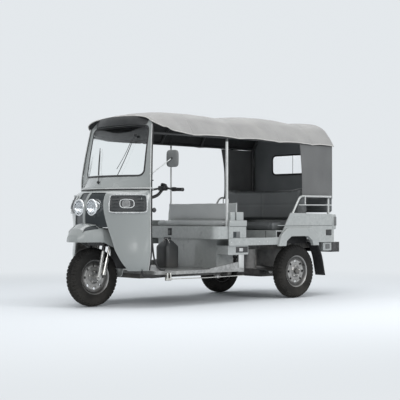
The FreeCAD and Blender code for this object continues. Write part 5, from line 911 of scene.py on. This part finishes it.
# Painted highlight: the waist lip's bead is in the lighter tube paint; the dark line under it is painted
# shadow.
sweep("waist_bead", [(x + 0.001, y * 1.003, 1.1015) for x, y in lip_line], 0.0055, tube_paint, through=5)
sweep("waist_shadow_line", [(x - 0.0035, y * 0.994, 1.0885) for x, y in lip_line], 0.004, rubber, through=5)

DOOR_KNOB = mm((0, -30), (13, -28), (13, 0), (21, 4), (23, 12), (19, 20), (0, 23))
FLOOR_EDGE = mm((1030, 516, 620), (1012, 518, 480), (985, 520, 400), (940, 522, 352), (880, 522, 345))
DOOR_EDGE = mm((1045, 490, 345), (1045, 512, 450), (1045, 520, 560), (1045, 520, 800), (1045, 520, 1088),
               (1043, 520, 1210), (1016, 494, 1450), (976, 462, 1700))


def mirrored(points, sign, dx=0.0, dy=0.0):
    """Points of the left side moved by dx and dy, on the side that sign says."""
    return [(x + dx, sign * (y + dy), z) for x, y, z in points]


for side, sign in SIDES:
    sweep("door_edge_" + side, mirrored(DOOR_EDGE, sign, -0.004, 0.001), 0.0072, rubber, sides=8, through=6)
    sweep("door_bead_" + side, mirrored(DOOR_EDGE, sign, 0.01, 0.0015), 0.0045, tube_paint, sides=8,
          through=6)
    sweep("floor_seal_" + side, mirrored(FLOOR_EDGE, sign), 0.0085, rubber, sides=8, through=6)
    lathe("door_knob_" + side, DOOR_KNOB, (1.018, sign * 0.52, 0.9), (0, sign, 0), plastic)


# Wipers, mirrors and handlebar

WIPER_A = mm((1255, -9, 1168), (1232, -22, 1190), (1165, -98, 1300), (1096, -172, 1470))
WIPER_B = mm((1052, 292, 1600), (1058, 283, 1572), (1118, 238, 1388), (1190, 200, 1215))
BLADE_A = mm((1198, -72, 1235), (1142, -136, 1345), (1078, -196, 1500))
BLADE_B = mm((1064, 252, 1545), (1104, 212, 1420), (1158, 158, 1285))
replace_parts(sweep("wiper_arm_right", WIPER_A, 0.0036, plastic, sides=8, through=8), "wipers")
sweep("wiper_blade_right", BLADE_A, 0.0034, rubber, sides=8, through=8)
sweep("wiper_arm_left", WIPER_B, 0.0036, plastic, sides=8, through=8)
sweep("wiper_blade_left", BLADE_B, 0.0026, rubber, sides=8, through=8)
lathe("wiper_pivot_right", mm((0, -14), (13, -12), (14, 4), (10, 12), (0, 15)),
      (1.246, -0.008, 1.163), (0.8, 0, 0.6), plastic)
lathe("wiper_pivot_left", mm((0, -14), (12, -12), (13, 4), (9, 12), (0, 15)),
      (1.044, 0.294, 1.604), (0.9, 0, 0.4), plastic)

MIRROR_TURN = radians(20)
MIRROR_SHELL = ((0.02, -0.01), (0.9, -0.01), (0.97, -0.008), (1.0, -0.003), (1.0, 0.004), (0.965, 0.011),
                (0.9, 0.014), (0.5, 0.0165), (0.02, 0.017))
MIRROR_GLASS = ((0.02, -0.0105), (0.45, -0.0105), (0.87, -0.0105))
for side, sign in SIDES:
    centre = Vector((0.884, sign * 0.636, 1.376))
    across = Vector((-sin(MIRROR_TURN * sign), cos(MIRROR_TURN), 0))
    ahead = Vector((cos(MIRROR_TURN), sin(MIRROR_TURN * sign), 0))
    outline = oval(0.061, 0.079, 5.0, 64, (0.0, 0.0))
    shell, glass_rows = ([[centre + across * (u * scale) + Vector((0, 0, v * scale)) + ahead * depth
                           for u, v in outline] for scale, depth in form]
                         for form in (MIRROR_SHELL, MIRROR_GLASS))
    head = surface("mirror_shell_" + side, shell, shell_grey, sharp=50)
    surface("mirror_glass_" + side, glass_rows, chrome)
    foot = Vector((1.032, sign * 0.514, 1.236))
    knuckle = centre + ahead * 0.018 + Vector((0, 0, 0.002))
    sweep("mirror_stalk_" + side, [foot, foot.lerp(knuckle, 0.5), knuckle], 0.005, tube_paint)
    lathe("mirror_foot_" + side, mm((0, -16), (14, -14), (14, 0), (10, 8), (0, 10)), foot,
          (0, sign, 0), tube_paint, segments=18)
    lathe("mirror_knuckle_" + side, mm((0, -6), (10, -4), (10, 6), (0, 10)), knuckle, ahead,
          plastic, segments=18)
    if sign > 0:
        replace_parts(head, "mirrors")

STEM = mm((915, 0, 1062), (800, 0, 1030), (640, 0, 1022), (520, 0, 1050), (450, 0, 1108))
BAR = mm((462, 315, 1102), (455, 200, 1108), (444, 120, 1114), (440, 50, 1122))
GRIP = [(0.0, -0.002), (0.0185, 0.0), (0.0185, 0.006), *((0.0165 + 0.0008 * (k % 2), 0.008 + k * 0.0042)
        for k in range(22)), (0.0185, 0.102), (0.0185, 0.108), (0.0, 0.11)]
LEVER = mm((478, 165, 1118), (505, 195, 1122), (512, 250, 1118), (500, 300, 1112))
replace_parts(sweep("bar_stem", STEM, 0.0155, dark, "steering", 12, through=8), "handlebar")
sweep("bar_tube", BAR + mirrored(BAR[::-1], -1), 0.0105, dark, "steering", 12, through=6)
slab("bar_clamp", (412, -46, 1098), (474, 46, 1146), 12, plastic, "steering")
lathe("bar_gauge", mm((0, -12), (30, -10), (33, 0), (30, 12), (24, 14), (0, 14)),
      (0.432, 0, 1.152), (-0.35, 0, 0.94), plastic, "steering", 24)
for side, sign in SIDES:
    lathe("bar_grip_" + side, GRIP, (0.4565, sign * 0.208, 1.1075), (0.06, sign, -0.04), rubber, "steering",
          24)
    slab("bar_switch_" + side, (436, sign * 180 - 22, 1088), (478, sign * 180 + 22, 1130), 10, plastic,
         "steering")
    sweep("bar_lever_" + side, mirrored(LEVER, sign), 0.0048, plastic, "steering", 8, through=6)


# Fender, flap and wheel arches

fender = nodes["front_fender"]
fender_tree = BVHTree.FromPolygons([fender.matrix_world @ v.co for v in fender.data.vertices],
                                   [p.vertices[:] for p in fender.data.polygons])


def on_fender(x, z, sign, lift):
    """The fender's skin seen from the side, at x along and z up."""
    for y in (0.4, 0.3):
        hit = fender_tree.ray_cast(Vector((x, sign * y, z)), Vector((0, -sign, 0)))
        if hit[0] is not None:
            normal = hit[1] if hit[1].y * sign > 0 or hit[1].z > 0 else -hit[1]
            return hit[0] + normal * lift
    return Vector((x, sign * 0.02, z))


LEAF = mm((1520, 690, 690), (1495, 721, 706), (1455, 745, 716), (1405, 757, 722), (1350, 758, 724),
          (1300, 750, 722), (1262, 730, 718))
BROW = [0.0012 + 0.0036 * sin(pi * k / 36) for k in range(37)]
for side, sign in SIDES:
    fine_leaf = curve_through(LEAF, 6)
    rows = [[on_fender(p.x, p.z + (p.y - p.z) * share, sign, 0.0016 - 0.0012 * abs(share - 0.5) * 2)
             for p in fine_leaf] for share in (0.0, 0.25, 0.5, 0.75, 1.0)]
    # Painted shade: a near-black sheet on each side of the fender, along the groove below its crest.
    surface("fender_groove_shade_" + side, rows, mask, ring=False, flip=sign < 0)
    sweep("fender_brow_" + side, [p + Vector((0, sign * 0.001, 0.002)) for p in rows[-1]], BROW, darkened_flank_paint,
          sides=8)

rows = []
for z, x in ((0.375, 0.994), (0.35, 0.994), (0.33, 0.996), (0.305, 1.003), (0.282, 1.012), (0.266, 1.022)):
    half = 0.06 if z > 0.272 else 0.05
    rows.append([Vector((x + 0.006 * (1 - (k / 6 - 1) ** 2), half * (k / 6 - 1), z)) for k in range(13)])
flap = surface("splash_flap_sheet", rows, darkened_flank_paint, ring=False)
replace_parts(solidify(flap, 0.006, 0.0), "splash_flap")
slab("well_apron", (1008, -120, 345), (1014, 300, 560), 2, rubber)

FLAP_CURVE = mm((-1196, 566), (-1232, 505), (-1266, 443), (-1290, 368), (-1307, 293), (-1326, 218))
for side, sign in SIDES:
    rows = [[Vector((p.x, sign * (0.47 + 0.134 * k / 8), p.z)) for k in range(9)]
            for p in curve_through([(x, 0, z) for x, z in FLAP_CURVE], 4)]
    mud = solidify(surface("mudflap_sheet_" + side, rows, rubber, ring=False), 0.007, 0.0)
    if sign > 0:
        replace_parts(mud, "mudflaps")
    beside("arch_wall", side, sign, (-1200, -560, 560, 697, 452, 458, 2), rubber)


# Body trims: name, sizes, finish, and the slot if it isn't the finish's own

BESIDE = (
    ("post_box_front", (41, 103, 803, 885, 576, 611, 4), paint, None),
    ("post_box_rear", (-78, 20, 803, 885, 560, 611, 4), paint, None),
    ("post_band", (-120, 118, 746, 803, 604, 615.5, 3), paint, None),
    ("post_band_line", (-118, 116, 741.5, 744.5, 606, 611.2, 1), rubber, None),
    ("post_window", (-29, 69, 632, 694, 606, 611.5, 2), shell_grey, "body_paint"),
    ("post_window_dark", (24, 66, 636, 690, 608, 612.2, 1), mask, None),
    ("quarter_line", (-1455, -560, 743.5, 746.5, 606, 611.2, 1), rubber, None),
    ("quarter_bead", (-1455, -575, 746.5, 753, 606, 612.8, 2), paint, None),
    ("sill_line", (-520, 116, 630, 632.5, 606, 611.2, 1), rubber, None),
    ("corner_lamp_shell", (-1498, -1436, 704, 866, 585, 617, 11), paint, None),
    ("corner_lamp", (-1500, -1452, 742, 842, 596, 621, 8), shell_grey, "red_lens"),
    ("marker_lamp", (-1418, -1340, 646, 698, 604, 619, 6), lamp_dark, "red_lens"),
    ("marker_base", (-1424, -1334, 641, 703, 603, 613.5, 3), rubber, None),
    ("corner_box", (-1449, -1310, 478, 567, 480, 592, 6), paint, None),
    ("corner_box_plate", (-1415, -1345, 497, 548, 588, 597, 4), shell_grey, "body_paint"),
)
RIVETS = [(x, 0.6105, 0.59) for x in (0.09, -0.02, -0.3, -0.42)]
RIVETS += [(x, 0.6105, 0.83) for x in (-0.9, -1.15, -1.4)]
RAIL_MIDDLE = mm((-905, 609, 962), (-1150, 609, 963), (-1425, 609, 964))
RAIL_UPRIGHT = mm((-1000, 609, 962), (-1000, 609, 1052))
for side, sign in SIDES:
    for name, sizes, finish, slot in BESIDE:
        if sign > 0 or not name.startswith("post_box"):
            beside(name, side, sign, sizes, finish)
    sweep("rail_middle_" + side, mirrored(RAIL_MIDDLE, sign), 0.0062, tube_paint)
    sweep("rail_upright_" + side, mirrored(RAIL_UPRIGHT, sign), 0.0062, tube_paint)
    studs("side_rivets_" + side, mirrored(RIVETS, sign), (0, sign, 0), 0.0042, 0.0022, tube_paint, sides=10)

sweep("far_post", mm((-170, -602, 620), (-170, -592, 880), (-170, -565, 1000), (-170, -565, 1700)),
      0.0085, frame_paint_and_shade, sides=12)
slab("rest_board", (-101, -482, 745), (-86, 482, 842), 2, paint)
slab("box_latch", (149, -250, 650), (156.5, -194, 724), 3, plastic)
slab("box_latch_grip", (153, -236, 662), (162, -208, 700), 4, shell_grey)
slab("tool_recess", (-158, 588.5, 486), (10, 592.5, 544), 2, bumper_black)
slab("tool_latch", (-85, 590, 497), (-35, 598, 531), 4, tube_paint)
slab("hanger_plate", (-108, 574, 296), (-36, 588, 466), 3, tube_paint)
sweep("brake_rod", mm((918, 592, 262), (400, 592, 258), (-100, 592, 262)), 0.0045, bright)
PIPE = mm((1120, 470, 345), (1105, 480, 300), (1050, 500, 282), (965, 520, 282), (750, 540, 292),
          (500, 550, 300), (300, 550, 304))
sweep("under_pipe", PIPE, 0.008, rubber, through=6)
sweep("under_pipe_thin", [(x + 0.01, y + 0.02, z + 0.012) for x, y, z in PIPE], 0.0045, rubber, sides=8,
      through=6)
for x in (910, 872):
    slab("rod_clip_%d" % x, (x - 8, 566, 248), (x + 8, 600, 318), 3, bright)
sweep("rod_clip_bar", mm((930, 590, 262), (850, 590, 262)), 0.009, bright, sides=12)

TANK_X = 0.384
TANK = mm((20, 20, 337), (86, 83, 337), (88, 85, 345), (88, 85, 536), (84, 81, 550), (50, 48, 596),
          (36, 35, 606), (30, 30, 609), (30, 30, 616), (33, 33, 618), (33, 33, 632), (29, 29, 636),
          (4, 4, 636))
BAIL = mm((440, -10, 563), (437, 6, 600), (430, 30, 624), (415, 50, 606), (408, 58, 572))
rows = []
for half_x, half_y, z in TANK:
    power = 6.0 if half_x > 0.06 else 3.0
    rows.append([Vector((u, v, z)) for u, v in oval(half_x, half_y, power, 64, (TANK_X, 0.0))])
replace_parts(surface("tank_shell", rows, tank_plastic, sharp=40, flip=True), "footwell_tank")
sweep("tank_bail", BAIL, 0.0038, bright, sides=8, through=6)


# Camera, floor and light

place = Vector((7.47215, 7.9768, 0.8352))
forward = Vector((-0.6867, -0.7268, 0.016)).normalized()
right = Vector((-0.7269, 0.6867, 0.0)).normalized()
up = right.cross(forward).normalized()
camera_data = bpy.data.cameras.new("camera")
camera_data.lens = 96.3
camera_data.sensor_width = 36.0
camera_data.clip_end = 200.0
camera = add_object("camera", camera_data)
turn = Matrix((right, up, -forward)).transposed()
camera.matrix_world = Matrix.Translation(place) @ turn.to_4x4()
scene.camera = camera
scene.view_settings.view_transform = "Standard"

PALE = (0.775, 0.81, 0.838)
FLOOR_RADIUS, FLOOR_SIDES = 70, 64
floor_mesh = bpy.data.meshes.new("floor")
floor_points = [(0, 0, 0)] + [(FLOOR_RADIUS * cos(a), FLOOR_RADIUS * sin(a), 0) for a in turns(FLOOR_SIDES)]
floor_mesh.from_pydata(floor_points, [], [(0, 1 + k, 1 + (k + 1) % FLOOR_SIDES) for k in range(FLOOR_SIDES)])
floor = add_object("floor", floor_mesh)
floor.location.z = -0.0005
floor_material = bpy.data.materials.new("pale_floor")
floor_material.use_nodes = True
tree = floor_material.node_tree
tree.nodes.clear()
place = add_node(tree, "TexCoord", {}).outputs["Object"]
distance = add_node(tree, "VectorMath", {0: place}, operation="LENGTH").outputs["Value"]
far = add_node(tree, "MapRange", {"Value": distance, "From Min": 1.9, "From Max": 6.5},
               interpolation_type="SMOOTHSTEP")
matte = add_node(tree, "BsdfDiffuse", {"Color": (0.8, 0.83, 0.86, 1)})
glow = add_node(tree, "Emission", {"Color": (*PALE, 1)})
blend = add_node(tree, "MixShader", {"Fac": far.outputs["Result"], 1: matte.outputs[0], 2: glow.outputs[0]})
add_node(tree, "OutputMaterial", {"Surface": blend.outputs[0]})
floor_mesh.materials.append(floor_material)

world = bpy.data.worlds.new("studio")
scene.world = world
world.use_nodes = True
tree = world.node_tree
tree.nodes.clear()
rays = add_node(tree, "LightPath", {}).outputs
seen = rays["Is Camera Ray"]
for kind in ("Is Transmission Ray", "Is Glossy Ray"):
    seen = add_node(tree, "Math", {0: seen, 1: rays[kind]}, operation="MAXIMUM").outputs[0]
pale = add_node(tree, "Background", {"Color": (*PALE, 1), "Strength": 1.0})
fill = add_node(tree, "Background", {"Color": (0.93, 0.97, 1.0, 1), "Strength": 0.45})
mix = add_node(tree, "MixShader", {"Fac": seen, 1: fill.outputs[0], 2: pale.outputs[0]})
add_node(tree, "OutputWorld", {"Surface": mix.outputs[0]})

for name, spot, target, size, power in (
        ("overhead", (0.2, 0.2, 5.2), (0, 0, 0.5), (6.5, 5.0), 190),
        ("front_left", (5.2, 3.4, 3.4), (0.6, 0, 0.8), (3.2, 3.0), 95),
        ("left", (-1.6, 6.0, 2.6), (-0.6, 0, 1.0), (3.0, 2.4), 120),
        ("rear_right", (-4.5, -3.2, 3.2), (0, 0, 0.8), (3.5, 3.0), 45)):
    light = bpy.data.lights.new(name, "AREA")
    light.shape = "RECTANGLE"
    light.size, light.size_y = size
    light.energy = power
    softbox = add_object(name, light)
    softbox.location = spot
    softbox.rotation_euler = (Vector(target) - Vector(spot)).to_track_quat("-Z", "Y").to_euler()
